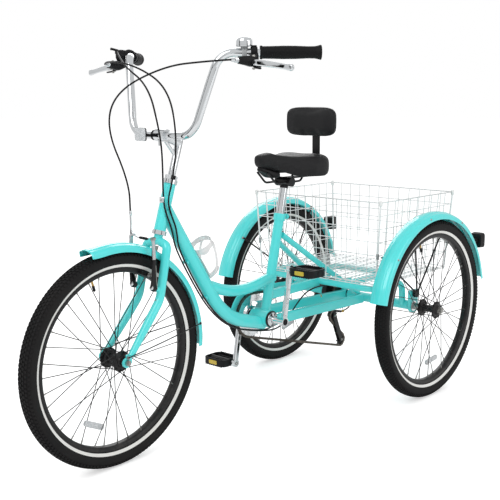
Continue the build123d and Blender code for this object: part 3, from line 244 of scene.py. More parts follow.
finishes = {  # roughness is least and most, depth is the surface's grain in metres
    "framePaint": {"colour": (76, 225, 224), "worn": (96, 232, 230), "drift": 0.35, "scuffs": 0.05,
                   "grain": 900.0, "roughness": (0.22, 0.34), "depth": 0.00003, "dust": 0.1,
                   "Coat_Weight": 0.7, "Coat_Roughness": 0.06},
    "polishedChrome": {"colour": (226, 229, 231), "worn": (198, 201, 204), "drift": 0.3, "scuffs": 0.1,
                       "grain": 500.0, "roughness": (0.05, 0.16), "depth": 0.00001, "Metallic": 1.0},
    "brushedAlloy": {"colour": (205, 207, 209), "worn": (176, 178, 181), "drift": 0.5, "scuffs": 0.2,
                     "grain": 900.0, "roughness": (0.24, 0.42), "depth": 0.00004, "Metallic": 1.0},
    "platedSteel": {"colour": (172, 171, 168), "worn": (120, 117, 112), "drift": 0.6, "scuffs": 0.4,
                    "grain": 700.0, "roughness": (0.28, 0.5), "depth": 0.00005, "Metallic": 1.0},
    "oiledChainSteel": {"colour": (118, 112, 104), "worn": (62, 57, 52), "drift": 0.8, "scuffs": 0.5,
                        "grain": 500.0, "roughness": (0.28, 0.55), "depth": 0.00006, "Metallic": 1.0},
    "whiteWireCoat": {"colour": (236, 238, 238), "worn": (222, 225, 226), "drift": 0.4, "scuffs": 0.1,
                      "grain": 700.0, "roughness": (0.25, 0.4), "depth": 0.00004,
                      "Coat_Weight": 0.4, "Coat_Roughness": 0.12},
    "blackPowderCoat": {"colour": (16, 16, 18), "worn": (34, 34, 36), "drift": 0.4, "scuffs": 0.15,
                        "grain": 1100.0, "roughness": (0.3, 0.48), "depth": 0.00006, "dust": 0.08,
                        "Coat_Weight": 0.15, "Coat_Roughness": 0.2, "Specular_IOR_Level": 0.25},
    "mouldedBlackPlastic": {"colour": (14, 14, 16), "worn": (28, 28, 30), "drift": 0.4, "scuffs": 0.15,
                            "grain": 1500.0, "roughness": (0.42, 0.6), "depth": 0.00008,
                            "Specular_IOR_Level": 0.22},
    "cableRubber": {"colour": (17, 17, 18), "worn": (33, 33, 34), "drift": 0.4, "scuffs": 0.2,
                    "grain": 1200.0, "roughness": (0.38, 0.55), "depth": 0.00006,
                    "Specular_IOR_Level": 0.2},
    "tyreRubber": {"colour": (18, 18, 19), "worn": (38, 36, 35), "drift": 0.5, "scuffs": 0.4,
                   "grain": 600.0, "roughness": (0.6, 0.82), "depth": 0.00012, "Specular_IOR_Level": 0.18},
    "gripRubber": {"colour": (9, 9, 10), "worn": (20, 20, 21), "drift": 0.4, "scuffs": 0.2,
                   "grain": 1800.0, "roughness": (0.5, 0.68), "depth": 0.0001, "Specular_IOR_Level": 0.18},
    "brass": {"colour": (196, 160, 92), "worn": (150, 118, 66), "drift": 0.5, "scuffs": 0.3,
              "grain": 700.0, "roughness": (0.22, 0.4), "depth": 0.00004, "Metallic": 1.0},
    "whiteCapPlastic": {"colour": (238, 239, 238), "worn": (222, 223, 222), "drift": 0.4, "scuffs": 0.1,
                        "grain": 1200.0, "roughness": (0.35, 0.5), "depth": 0.00005},
    "greySleevePlastic": {"colour": (168, 171, 172), "worn": (140, 143, 145), "drift": 0.4, "scuffs": 0.1,
                          "grain": 1200.0, "roughness": (0.4, 0.55), "depth": 0.00005},
    "whiteStripeRubber": {"colour": (236, 236, 233), "worn": (208, 206, 200), "drift": 0.4, "scuffs": 0.2,
                          "grain": 700.0, "roughness": (0.5, 0.66), "depth": 0.00006},
    "paleCagePlastic": {"colour": (252, 251, 251), "worn": (244, 243, 243), "drift": 0.4, "scuffs": 0.1,
                        "grain": 1200.0, "roughness": (0.3, 0.45), "depth": 0.00004,
                        "Transmission_Weight": 0.3},
}
(paint, chrome, alloy, steel, oiledSteel, wireCoat, blackMetal, blackPlastic, rubber, tyreRubber, gripRubber,
 brass, whitePlastic, greyPlastic, whiteRubber,
 cagePlastic) = [handledMaterial(label, **finish) for label, finish in finishes.items()]


def makeVinyl():
    material, tree, shader = newMaterial("seatVinyl", Coat_Weight=0.06, Coat_Roughness=0.3,
                                         Specular_IOR_Level=0.25)
    surface = addGroup(tree, handledSurface, Colour=linear(17, 17, 19), Worn_colour=linear(30, 30, 32),
                       Drift=0.5, Scuffs=0.15, Grain_scale=400.0, Roughness_low=0.42, Roughness_high=0.58)
    grain = addGroup(tree, pebbleGrain, Scale=620.0, Creases=0.3)
    tree.links.new(surface.outputs["Colour"], shader.inputs["Base Color"])
    tree.links.new(surface.outputs["Roughness"], shader.inputs["Roughness"])
    addBump(tree, shader, grain.outputs["Height"], 0.00022)
    return material


def makeLens(name, colour, deep, scale):
    material, tree, shader = newMaterial(name, Coat_Weight=0.8, Coat_Roughness=0.05, Specular_IOR_Level=0.6)
    place = objectPlace(tree)
    prisms = addCells(tree, place, scale, "F1")
    facet = addRange(tree, prisms, 0.1, 0.55)
    mixed = addMix(tree, facet, colour, deep)
    tree.links.new(mixed, shader.inputs["Base Color"])
    tree.links.new(addRange(tree, prisms, 0.0, 0.6, 0.12, 0.3), shader.inputs["Roughness"])
    addBump(tree, shader, prisms, 0.0008)
    return material


vinyl = makeVinyl()
redLens = makeLens("redPrismLens", linear(196, 24, 22), linear(118, 8, 10), 320.0)
clearLens = makeLens("clearPrismLens", linear(238, 240, 241), linear(186, 190, 193), 320.0)
amberLens = makeLens("amberPrismLens", linear(236, 208, 40), linear(196, 164, 18), 320.0)
print("materials made")


# mesh helpers

def newPiece(name, mesh, *materials):
    for material in materials:
        mesh.materials.append(material)
    piece = bpy.data.objects.new(name, mesh)
    bpy.context.scene.collection.objects.link(piece)
    return piece


def finishMesh(shape, name, smooth=40.0):
    bmesh.ops.remove_doubles(shape, verts=shape.verts, dist=0.00001)
    bmesh.ops.recalc_face_normals(shape, faces=shape.faces)
    mesh = bpy.data.meshes.new(name)
    shape.to_mesh(mesh)
    shape.free()
    mesh.polygons.foreach_set("use_smooth", [True] * len(mesh.polygons))
    mesh.set_sharp_from_angle(angle=math.radians(smooth))
    return mesh


def spinProfile(shape, origin, direction, profile, steps=48, closed=False, slots=None, turn=(0, 360),
                flare=None):
    direction = Vector(direction).normalized()
    start = Vector((0, 0, 1)) if abs(direction.z) < 0.9 else Vector((0, 1, 0))
    start = (start - direction * start.dot(direction)).normalized()
    other = direction.cross(start)
    whole = turn[1] - turn[0] >= 360
    count = steps if whole else steps + 1
    rings = []
    for k in range(count):
        degreesNow = turn[0] + (turn[1] - turn[0]) * k / steps
        angle = math.radians(degreesNow)
        radial = start * math.cos(angle) + other * math.sin(angle)
        extra = flare(degreesNow) if flare else 0.0
        rings.append([shape.verts.new(origin + direction * (a / 1000) + radial * ((r + extra) / 1000))
                      for a, r in profile])
    runs = len(profile) if closed else len(profile) - 1
    for k in range(steps):
        here, there = rings[k], rings[(k + 1) % count]
        for i in range(runs):
            j = (i + 1) % len(profile)
            face = shape.faces.new([here[i], here[j], there[j], there[i]])
            if slots:
                face.material_index = slots[i]


def solidPiece(name, shape, material, body=None, smooth=40.0, bevel=0.0):
    piece = newPiece(name, finishMesh(shape, name, smooth), material)
    if bevel:
        addBevel(piece, bevel)
    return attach(piece, body) if body else piece


def spinPiece(name, origin, direction, profile, materials, steps=48, closed=False, slots=None, smooth=40.0,
              body=None):
    shape = bmesh.new()
    spinProfile(shape, Vector(origin), direction, profile, steps, closed, slots)
    piece = newPiece(name, finishMesh(shape, name, smooth), *materials)
    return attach(piece, body) if body else piece


def smoothPath(points, steps):  # a Catmull-Rom line through the points
    line = []
    for i in range(len(points) - 1):
        before = points[max(i - 1, 0)]
        here, there = points[i], points[i + 1]
        after = points[min(i + 2, len(points) - 1)]
        for k in range(steps):
            t = k / steps
            line.append(0.5 * ((2 * here) + (there - before) * t
                               + (2 * before - 5 * here + 4 * there - after) * t * t
                               + (3 * here - before - 3 * there + after) * t ** 3))
    line.append(points[-1])
    return line


def skinRings(shape, rings):  # joins rings of points in their order and closes both ends
    count = len(rings[0])
    for here, there in zip(rings, rings[1:]):
        for s in range(count):
            shape.faces.new((here[s], here[(s + 1) % count], there[(s + 1) % count], there[s]))
    shape.faces.new(rings[0])
    shape.faces.new(rings[-1])


def squared(value, power):  # pushes a sine or cosine towards a square corner
    return math.copysign(abs(value) ** power, value)


def circlePoints(count):
    return [(math.cos(2 * math.pi * k / count), math.sin(2 * math.pi * k / count)) for k in range(count)]


def loftShape(shape, points, widths, heights, upHint, steps=6, sides=16, power=2.0):
    rows = smoothPath([Vector((p[0], p[1], p[2])) for p in points], steps)
    sizes = smoothPath([Vector((w, h, 0)) for w, h in zip(widths, heights)], steps)
    rings = []
    for k, place in enumerate(rows):
        run = (rows[min(k + 1, len(rows) - 1)] - rows[max(k - 1, 0)]).normalized()
        across = run.cross(Vector(upHint)).normalized()
        rise = across.cross(run).normalized()
        rings.append([shape.verts.new(place + across * (squared(c, 2 / power) * sizes[k].x / 2000)
                                      + rise * (squared(d, 2 / power) * sizes[k].y / 2000))
                      for c, d in circlePoints(sides)])
    skinRings(shape, rings)


def boxShape(shape, centre, size):
    scale = Matrix.Diagonal((*[s / 1000 for s in size], 1))
    bmesh.ops.create_cube(shape, size=1.0, matrix=Matrix.Translation(centre) @ scale)


def addBevel(piece, width):
    bevel = piece.modifiers.new("softEdges", "BEVEL")
    bevel.width = width / 1000
    bevel.segments = 2
    bevel.limit_method = "ANGLE"
    bevel.angle_limit = math.radians(35)
    return piece


# geometry node helpers

def newGeometryTree(name, inputs):
    tree = bpy.data.node_groups.new(name, "GeometryNodeTree")
    tree.interface.new_socket(name="Geometry", in_out="INPUT", socket_type="NodeSocketGeometry")
    for label, kind, value in inputs:
        addSocket(tree, label, kind, "INPUT", value)
    tree.interface.new_socket(name="Geometry", in_out="OUTPUT", socket_type="NodeSocketGeometry")
    return tree, tree.nodes.new("NodeGroupInput"), tree.nodes.new("NodeGroupOutput")


def addNode(tree, kind, **sockets):
    node = tree.nodes.new(kind)
    for name, value in sockets.items():
        feed(tree, node.inputs[name.replace("_", " ")], value)
    return node


def closeTree(tree, given, out, geometry):  # every tree ends the same way
    real = addNode(tree, "GeometryNodeRealizeInstances", Geometry=geometry)
    painted = addNode(tree, "GeometryNodeSetMaterial", Geometry=real.outputs[0],
                      Material=given.outputs["Material"])
    smooth = addNode(tree, "GeometryNodeSetShadeSmooth", Geometry=painted.outputs[0])
    smooth.inputs["Shade Smooth"].default_value = True
    tree.links.new(smooth.outputs[0], out.inputs["Geometry"])


def bakeTree(name, tree, values, mesh=None):  # runs a tree once and keeps its result as a plain mesh
    holder = bpy.data.objects.new(name + "Holder", mesh or bpy.data.meshes.new(name + "Seed"))
    bpy.context.scene.collection.objects.link(holder)
    modifier = holder.modifiers.new("shape", "NODES")
    modifier.node_group = tree
    for item in tree.interface.items_tree:
        if item.item_type == "SOCKET" and item.in_out == "INPUT" and item.name in values:
            modifier[item.identifier] = values[item.name]
    bpy.context.view_layer.update()
    made = bpy.data.meshes.new_from_object(holder.evaluated_get(bpy.context.evaluated_depsgraph_get()))
    holder.modifiers.remove(modifier)
    bpy.data.objects.remove(holder)
    made.name = name
    piece = bpy.data.objects.new(name, made)
    bpy.context.scene.collection.objects.link(piece)
    return piece


def makeWireTree():  # every drawn edge becomes a round wire
    tree, given, out = newGeometryTree("roundWire", [("Diameter", "Float", 0.003), ("Sides", "Int", 8),
                                                     ("Material", "Material", None)])
    curve = addNode(tree, "GeometryNodeMeshToCurve", Mesh=given.outputs["Geometry"])
    half = addMath(tree, "MULTIPLY", given.outputs["Diameter"], 0.5)
    circle = addNode(tree, "GeometryNodeCurvePrimitiveCircle", Radius=half, Resolution=given.outputs["Sides"])
    wire = addNode(tree, "GeometryNodeCurveToMesh", Curve=curve.outputs[0], Profile_Curve=circle.outputs[0])
    wire.inputs["Fill Caps"].default_value = True
    closeTree(tree, given, out, wire.outputs[0])
    return tree


wireTree = makeWireTree()


def wirePiece(name, runs, diameter, material, sides=8, body=None):
    points, edges = [], []
    for run in runs:
        first = len(points)
        points += [tuple(p) for p in run]
        edges += [(first + k, first + k + 1) for k in range(len(run) - 1)]
    mesh = bpy.data.meshes.new(name + "Lines")
    mesh.from_pydata(points, edges, [])
    piece = bakeTree(name, wireTree, {"Diameter": diameter / 1000, "Sides": sides, "Material": material},
                     mesh)
    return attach(piece, body) if body else piece


# wheels

tyre = {
    "section": [(13.0, 256.3), (14.8, 258.6), (19.2, 266.8), (22.0, 272.0), (23.6, 280.0), (22.6, 288.0),
                (19.0, 295.0), (12.0, 299.6), (4.0, 300.9)],
    "stripeRuns": 1, "pitches": 156, "knobLength": 7.4,
    "rows": [(0.0, 301.2, 0, 6.6, 0), (8.2, 300.5, 9, 6.0, 1), (15.0, 298.0, 30, 5.8, 0),
             (20.6, 292.4, 55, 5.4, 1)],
}
spokes = {"crossings": 3, "count": 36, "seat": 24.5, "rim": 242.7, "diameter": 2.5,
          "outer": (31.0, 5.5), "inner": (23.0, 2.0)}


def wheelPoint(centre, side, radius, turn):
    angle = math.radians(turn)
    return centre + Vector((side, -radius * math.sin(angle), radius * math.cos(angle))) / 1000


def repeatRound(tree, given, out, instance, count, step):  # turned copies, one step apart about the axle
    points = addNode(tree, "GeometryNodePoints", Count=count)
    index = tree.nodes.new("GeometryNodeInputIndex")
    spin = addNode(tree, "ShaderNodeCombineXYZ", X=addMath(tree, "MULTIPLY", step, index.outputs[0]))
    ring = addNode(tree, "GeometryNodeInstanceOnPoints", Points=points.outputs[0], Instance=instance,
                   Rotation=spin.outputs[0])
    closeTree(tree, given, out, ring.outputs[0])


def makeTreadTree():
    tree, given, out = newGeometryTree("tyreTread", [
        ("Pitches", "Int", 156), ("Knob length", "Float", 0.0074), ("Knob height", "Float", 0.0042),
        ("Material", "Material", None)])
    step = addMath(tree, "DIVIDE", 2 * math.pi, given.outputs["Pitches"])
    join = tree.nodes.new("GeometryNodeJoinGeometry")
    for side, radius, tilt, width, staggered in tyre["rows"]:
        for hand in ((1, -1) if side else (1,)):
            size = addNode(tree, "ShaderNodeCombineXYZ", X=width / 1000, Y=given.outputs["Knob length"],
                           Z=given.outputs["Knob height"])
            knob = addNode(tree, "GeometryNodeMeshCube", Size=size.outputs[0])
            placed = addNode(tree, "GeometryNodeTransform", Geometry=knob.outputs[0])
            placed.inputs["Translation"].default_value = (hand * side / 1000, 0, radius / 1000)
            placed.inputs["Rotation"].default_value = (0, math.radians(hand * tilt), 0)
            turn = addNode(tree, "ShaderNodeCombineXYZ", X=addMath(tree, "MULTIPLY", step, 0.5 * staggered))
            shifted = addNode(tree, "GeometryNodeTransform", Geometry=placed.outputs[0],
                              Rotation=turn.outputs[0])
            tree.links.new(shifted.outputs[0], join.inputs[0])
    repeatRound(tree, given, out, join.outputs[0], given.outputs["Pitches"], step)
    return tree


def makeSpokeTree():
    labels = [f"{side} {lace}" for side in ("Left", "Right") for lace in ("outer", "inner")]
    sockets = [(f"{label} {end}", "Vector", (0, 0, 0)) for label in labels for end in ("seat", "rim")]
    sockets += [("Repeats", "Int", 9), ("Diameter", "Float", 0.002), ("Nipple share", "Float", 0.0),
                ("Material", "Material", None)]
    tree, given, out = newGeometryTree("lacedSpokes", sockets)
    half = addMath(tree, "MULTIPLY", given.outputs["Diameter"], 0.5)
    circle = addNode(tree, "GeometryNodeCurvePrimitiveCircle", Radius=half)
    circle.inputs["Resolution"].default_value = 6
    join = tree.nodes.new("GeometryNodeJoinGeometry")
    for label in labels:
        blend = tree.nodes.new("ShaderNodeMix")
        blend.data_type = "VECTOR"
        tree.links.new(given.outputs["Nipple share"], blend.inputs[0])
        tree.links.new(given.outputs[f"{label} seat"], blend.inputs[4])
        tree.links.new(given.outputs[f"{label} rim"], blend.inputs[5])
        line = addNode(tree, "GeometryNodeCurvePrimitiveLine", Start=blend.outputs[1],
                       End=given.outputs[f"{label} rim"])
        bar = addNode(tree, "GeometryNodeCurveToMesh", Curve=line.outputs[0], Profile_Curve=circle.outputs[0])
        bar.inputs["Fill Caps"].default_value = True
        tree.links.new(bar.outputs[0], join.inputs[0])
    step = addMath(tree, "DIVIDE", 2 * math.pi, given.outputs["Repeats"])
    repeatRound(tree, given, out, join.outputs[0], given.outputs["Repeats"], step)
    return tree


treadTree = makeTreadTree()
spokeTree = makeSpokeTree()


def moveMesh(piece, offset, floor=None):
    for vert in piece.data.vertices:
        vert.co = vert.co + offset
        if floor is not None and vert.co.z < floor:
            vert.co.z = floor
    return piece


def makeTyre(name, wheel):
    half = tyre["section"]
    profile = [(-a, r) for a, r in half] + [(0, 301.1)] + [(a, r) for a, r in reversed(half)]
    runs = len(profile)
    slots = [0] * runs
    slots[tyre["stripeRuns"]] = 1
    slots[runs - 2 - tyre["stripeRuns"]] = 1
    carcass = spinPiece(name + "TyreCarcass", wheel["centre"], (1, 0, 0), profile, (tyreRubber, whiteRubber),
                        160, closed=True, slots=slots, smooth=60)
    moveMesh(carcass, Vector(), 0.0)
    tread = bakeTree(name + "TyreTread", treadTree, {"Pitches": tyre["pitches"],
                                                     "Knob length": tyre["knobLength"] / 1000,
                                                     "Knob height": 0.0042, "Material": tyreRubber})
    for polygon in tread.data.polygons:
        polygon.use_smooth = False
    moveMesh(tread, wheel["centre"], 0.0)
    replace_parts(carcass, name + "_tyre")
    return [carcass, tread]


def makeRim(name, wheel):
    profile = [(-13.0, 256.0), (-13.2, 250.0), (-12.2, 245.6), (-8.5, 243.0), (0, 242.2), (8.5, 243.0),
               (12.2, 245.6), (13.2, 250.0), (13.0, 256.0)]
    rim = spinPiece(name + "Rim", wheel["centre"], (1, 0, 0), profile, (blackMetal,), 144, closed=True,
                    smooth=50)
    inward = (wheel["centre"] - wheelPoint(wheel["centre"], 0, 100, wheel["valve"])).normalized()
    foot = wheelPoint(wheel["centre"], 0, 243.0, wheel["valve"])
    valve = spinPiece(name + "ValveStem", foot, inward,
                      [(-1, 0), (-1, 4.6), (2.5, 4.6), (3, 3.2), (17, 3.0), (17, 0)], (brass,), 16)
    cap = spinPiece(name + "ValveCap", foot, inward, [(16, 0), (16, 4.2), (30, 3.9), (32.5, 2.4), (32.8, 0)],
                    (blackPlastic,), 16)
    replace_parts(rim, name + "_rim")
    return [rim, valve, cap]


def makeHub(name, wheel):
    half = [(36.0, 5.0), (36.0, 12.5), (33.0, 15.4), (30.0, 16.4), (28.7, 18.5), (28.7, 28.2), (28.2, 29.0),
            (25.8, 29.0), (25.3, 28.2), (25.3, 18.0), (21.0, 13.6), (12.0, 12.0)]
    profile = [(-a, r) for a, r in half] + [(0, 11.8)] + [(a, r) for a, r in reversed(half)]
    hub = spinPiece(name + "Hub", wheel["centre"], (1, 0, 0), profile, (blackMetal,), 48, closed=True,
                    smooth=35)
    ends = {}
    step = 360 / spokes["count"]
    for label, side in (("Left", 1), ("Right", -1)):
        for lace, shift in (("outer", 0), ("inner", 2)):
            turn = (0 if side > 0 else step) + shift * step
            lead = (1 if lace == "outer" else -1) * spokes["crossings"] * 2 * step
            hubSide, rimSide = spokes[lace]
            seat = wheelPoint(Vector(), side * hubSide, spokes["seat"], turn + lead)
            ends[f"{label} {lace} seat"] = tuple(seat)
            ends[f"{label} {lace} rim"] = tuple(wheelPoint(Vector(), side * rimSide, spokes["rim"], turn))
    common = {"Repeats": spokes["count"] // 4, **ends}
    laced = bakeTree(name + "Spokes", spokeTree, {**common, "Diameter": spokes["diameter"] / 1000,
                                                  "Nipple share": 0.0, "Material": blackMetal})
    nipples = bakeTree(name + "Nipples", spokeTree, {**common, "Diameter": 0.0042, "Nipple share": 0.95,
                                                     "Material": steel})
    for piece in (laced, nipples):
        moveMesh(piece, wheel["centre"])
    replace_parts(hub, name + "_hub_and_spokes")
    return [hub, laced, nipples]


def makeSpokeReflector(name, wheel):
    turn = wheel["reflector"]
    centre = wheelPoint(wheel["centre"], 0, 186, turn)
    outward = (centre - wheel["centre"]).normalized()
    along = outward.cross(Vector((1, 0, 0))).normalized()
    shape = bmesh.new()
    rings = []
    for depth, radius in ((-3.8, 7.3), (-2.6, 8.5), (2.6, 8.5), (3.8, 7.3)):
        rings.append([shape.verts.new(centre + along * (((27.5 if c > 0 else -27.5) + radius * c) / 1000)
                                      + outward * (radius * d / 1000) + Vector((depth / 1000, 0, 0)))
                      for c, d in circlePoints(32)])
    skinRings(shape, rings)
    reflector = solidPiece(name + "SpokeReflector", shape, clearLens)
    clip = spinPiece(name + "ReflectorClip", centre - Vector((0.0055, 0, 0)), (1, 0, 0),
                     [(0, 0), (0, 3.4), (1, 4.2), (10, 4.2), (11, 3.4), (11, 0)], (clearLens,), 16)
    return [reflector, clip]


for name, wheel in wheels.items():
    for make in (makeTyre, makeRim, makeHub, makeSpokeReflector):
        for piece in make(name, wheel):
            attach(piece, wheel["body"])
print("wheels made")


# mudguards, stays and reflectors

mudguard = {"wall": 1.3, "rear": (331.0, -79.0, 77.5), "front": (324.0, -94.0, 16.0),
            "section": [(30.0, -24.0), (29.9, -17.5), (28.6, -11.0), (25.6, -6.6), (20.5, -4.3), (14.2, -3.2),
                        (12.6, -2.6), (11.2, -1.0), (9.0, -0.3), (0, 0)]}


def makeMudguard(name, centre, key, width=1.0, flare=None):
    radius, first, last = mudguard[key]
    half = [(a * width, radius + drop) for a, drop in mudguard["section"]]
    profile = [(-a, r) for a, r in half[:-1]] + [half[-1]] + [(a, r) for a, r in reversed(half[:-1])]
    shape = bmesh.new()
    spinProfile(shape, centre, (1, 0, 0), profile, 90, turn=(first, last), flare=flare)
    piece = solidPiece(name, shape, paint, smooth=50)
    outside = piece.data.polygons[len(piece.data.polygons) // 2]
    if (outside.center - centre).dot(outside.normal) < 0:
        piece.data.flip_normals()
    wall = piece.modifiers.new("sheet", "SOLIDIFY")
    wall.thickness = mudguard["wall"] / 1000
    wall.offset = -1.0
    wall.use_rim = True
    return addBevel(piece, 0.4)


def makeDomeScrew(name, place, outward, size, material, body=None):
    profile = [(-2, 0), (-2, size), (0, size), (0.4 * size, 0.86 * size), (0.7 * size, 0.5 * size),
               (0.78 * size, 0)]
    return spinPiece(name, place, outward, profile, (material,), 16, body=body)


def rearFlare(turn):
    return 3.0 * max(0.0, (-74.0 - turn) / 5.0) ** 2


def frontFlare(turn):
    return 6.0 * max(0.0, (turn - 8.0) / 8.0) ** 2 - 1.5 * max(0.0, (-88.0 - turn) / 6.0)


mudguardBodies = (("front", "front", "steering", frontFlare, 0.93), ("left", "rear", "frame", rearFlare, 1.0),
                  ("right", "rear", "frame", rearFlare, 1.0))
for name, key, body, flare, width in mudguardBodies:
    guard = makeMudguard(name + "Mudguard", wheels[name]["centre"], key, width, flare)
    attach(guard, body)
    if name == "front":
        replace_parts(guard, "front_fender")
    elif name == "left":
        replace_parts(guard, "rear_fenders")


def makeFrontStrap():
    shape = bmesh.new()
    low = wheelPoint(wheels["front"]["centre"], 0, 323.0, -28.2)
    high = wheelPoint(wheels["front"]["centre"], 0, 337.0, -28.2)
    loftShape(shape, [low, high], (26, 24), (3, 3), (0, 1, 0), 2, 12, 5.0)
    solidPiece("frontMudguardStrap", shape, steel, "steering", 30)


makeFrontStrap()
for hand in (-1, 1):
    label = "left" if hand > 0 else "right"
    eye = at(hand * 56.5, 1091, 317)
    edge = wheelPoint(wheels["front"]["centre"], hand * 29.4, 308.0, -81.0)
    elbow = at(hand * 61.5, 1078, 321)
    wirePiece(label + "FrontStay",
              [smoothPath([eye, elbow, elbow.lerp(edge, 0.5) + Vector((hand * 0.003, 0, 0)), edge], 6)],
              3.4, blackMetal, body="steering")
    makeDomeScrew(label + "FrontStayScrewLow",
                  wheelPoint(wheels["front"]["centre"], hand * 28.8, 308.0, -81.0), (hand, 0, 0), 4.2,
                  blackMetal, body="steering")
    spinPiece(label + "StayEyelet", at(hand * 53.2, 1091, 317), (hand, 0, 0),
              [(0, 0), (0, 4.6), (5.6, 4.6), (6.2, 4.0), (6.2, 0)], (steel,), 16, body="steering")
    wheel = wheels[label]
    for k, turn in enumerate((50, 10, -28)):
        place = wheelPoint(wheel["centre"], -hand * 30.4, 319.0, turn)
        makeDomeScrew(f"{label}GuardScrew{k}", place, (-hand, 0, 0), 4.6, steel, body="frame")
        makeDomeScrew(f"{label}GuardRivet{k}", wheelPoint(wheel["centre"], hand * 29.4, 317.0, turn),
                      (hand, 0, 0), 3.6, steel, body="frame")


def makeRearReflector(label, hand):
    shape = bmesh.new()
    middle = at(hand * halfTrack, -315, 500)
    loftShape(shape, [middle + Vector((0, -0.0148, 0)), middle + Vector((0, 0.012, 0))], (46, 50), (50, 54),
              (0, 0, 1), 1, 24, 6.0)
    loftShape(shape, [at(hand * halfTrack, -283, 500), middle + Vector((0, -0.012, 0))], (22, 26), (18, 24),
              (0, 0, 1), 1, 16, 5.0)
    housing = solidPiece(label + "ReflectorHousing", shape, blackPlastic, smooth=35)
    addBevel(housing, 1.2)
    lensShape = bmesh.new()
    loftShape(lensShape, [middle + Vector((0, 0.0115, 0)), middle + Vector((0, 0.0138, 0)),
                          middle + Vector((0, 0.0149, 0))],
              (46, 46, 43), (50, 50, 47), (0, 0, 1), 1, 24, 6.0)
    lens = solidPiece(label + "ReflectorLens", lensShape, redLens, smooth=35)
    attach(housing, "frame")
    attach(lens, "frame")
    return housing


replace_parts(makeRearReflector("left", 1), "rear_reflectors")
makeRearReflector("right", -1)
print("mudguards made")

# luggage basket

basket = {"floor": 396.0, "rim": 676.0, "wire": 2.8, "rows": [406, 457.5, 501.2, 544.9, 588.6, 632.3, 676],
          "spacing": 44.5}


def basketCorner(side, end, up):
    share = (up - basket["floor"]) / (basket["rim"] - basket["floor"])
    ahead = (200 + 9 * share) if end > 0 else -(230 + 12 * share)
    return at(side * (248 + 19 * share), ahead, up)


def basketWallRuns():
    runs = []
    corners = ((1, 1), (-1, 1), (-1, -1), (1, -1))
    for k in range(4):
        first, last = corners[k], corners[(k + 1) % 4]
        lowA, lowB = basketCorner(*first, basket["floor"] + 3), basketCorner(*last, basket["floor"] + 3)
        highA, highB = basketCorner(*first, basket["rim"]), basketCorner(*last, basket["rim"])
        count = round((highB - highA).length * 1000 / basket["spacing"])
        middle = (highA + highB) * 0.5
        inward = (Vector((0, rearAxleY + 0.015, middle.z)) - middle).normalized() * 0.0028
        for j in range(1, count):
            runs.append([lowA.lerp(lowB, j / count) + inward, highA.lerp(highB, j / count) + inward])
        for up in basket["rows"]:
            runs.append([basketCorner(*first, up), basketCorner(*last, up)])
    return runs


def basketFloorRuns():
    low, high = basketCorner(-1, 1, basket["floor"]), basketCorner(1, -1, basket["floor"])
    start = low + Vector((0.006, 0.006, 0))
    wide, long = high.x - low.x - 0.012, high.y - low.y - 0.012
    runs = [[start + Vector((0, long * k / 18, 0)), start + Vector((wide, long * k / 18, 0))]
            for k in range(19) if k != 2]
    lift = Vector((0, 0, 0.0028))
    return runs + [[start + lift + Vector((wide * k / 10, 0, 0)),
                    start + lift + Vector((wide * k / 10, long, 0))]
                   for k in range(11)]


walls = wirePiece("basketWallWires", basketWallRuns(), basket["wire"], wireCoat)
rimLoop = [basketCorner(s, e, basket["rim"]) for s, e in ((1, 1), (-1, 1), (-1, -1), (1, -1), (1, 1))]
rim = wirePiece("basketRimWire", [rimLoop], 4.2, wireCoat)
floorWires = wirePiece("basketFloorWires", basketFloorRuns(), basket["wire"], wireCoat)
for piece in (walls, rim, floorWires):
    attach(piece, "frame")
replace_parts(walls, "basket_walls")
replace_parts(floorWires, "basket_floor")


def makeBasketCorner(side, end):
    foot, head = basketCorner(side, end, basket["floor"]), basketCorner(side, end, basket["rim"] + 4)
    label = ("left" if side > 0 else "right") + ("Front" if end > 0 else "Rear")
    run = (head - foot).normalized()
    reach = (head - foot).length * 1000
    rod = spinPiece(label + "BasketRod", foot, run, [(0, 0), (0, 3.0), (reach, 3.0), (reach, 0)],
                    (wireCoat,), 12)
    cap = spinPiece(label + "BasketCap", head, run,
                    [(-15, 0), (-15, 4.6), (-13, 5.8), (-2, 6.1), (1.5, 5.0), (3, 2.6), (3.2, 0)],
                    (whitePlastic,), 20)
    low = basketCorner(side, end, 499)
    sleeve = spinPiece(label + "BasketSleeve", low, run,
                       [(-9, 0), (-9, 4.4), (-7.5, 5.2), (7.5, 5.2), (9, 4.4), (9, 0)], (greyPlastic,), 16)
    for piece in (rod, cap, sleeve):
        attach(piece, "frame")


for side in (-1, 1):
    for end in (-1, 1):
        makeBasketCorner(side, end)
print("basket made")


# handlebar controls

barHigh, barEnd = at(184, 860, 1130), at(370, 665, 1131)
barRun = (barEnd - barHigh).normalized()
barOut = Vector((barRun.y, -barRun.x, 0))


def leverPoint(hand, along, outward, up):  # measured from the collar of a brake lever
    place = barHigh + barRun * ((92 + along) / 1000) + barOut * (outward / 1000) + Vector((0, 0, up / 1000))
    return Vector((hand * place.x, place.y, place.z))


def leverRun(hand, along, outward, up=0):
    return leverPoint(hand, along, outward, up) - leverPoint(hand, 0, 0, 0)


grip = {"from": 16, "length": 164.5, "ripple": 0.22, "ripplePitch": 3.6,
        "shape": ((0, 17.8), (5, 18.2), (7, 16.4), (30, 16.6), (62, 17.6), (96, 17.3), (128, 15.9),
                  (148, 16.3), (158, 18.6), (162, 19.8), (164.5, 19.2))}


def gripRadius(along):
    shape = grip["shape"]
    for (a, r), (b, s) in zip(shape, shape[1:]):
        if along <= b:
            wave = math.sin(2 * math.pi * along / grip["ripplePitch"]) if 10 < along < 152 else 0
            ripple = grip["ripple"] * wave
            return r + (s - r) * (along - a) / (b - a) + ripple
    return shape[-1][1]


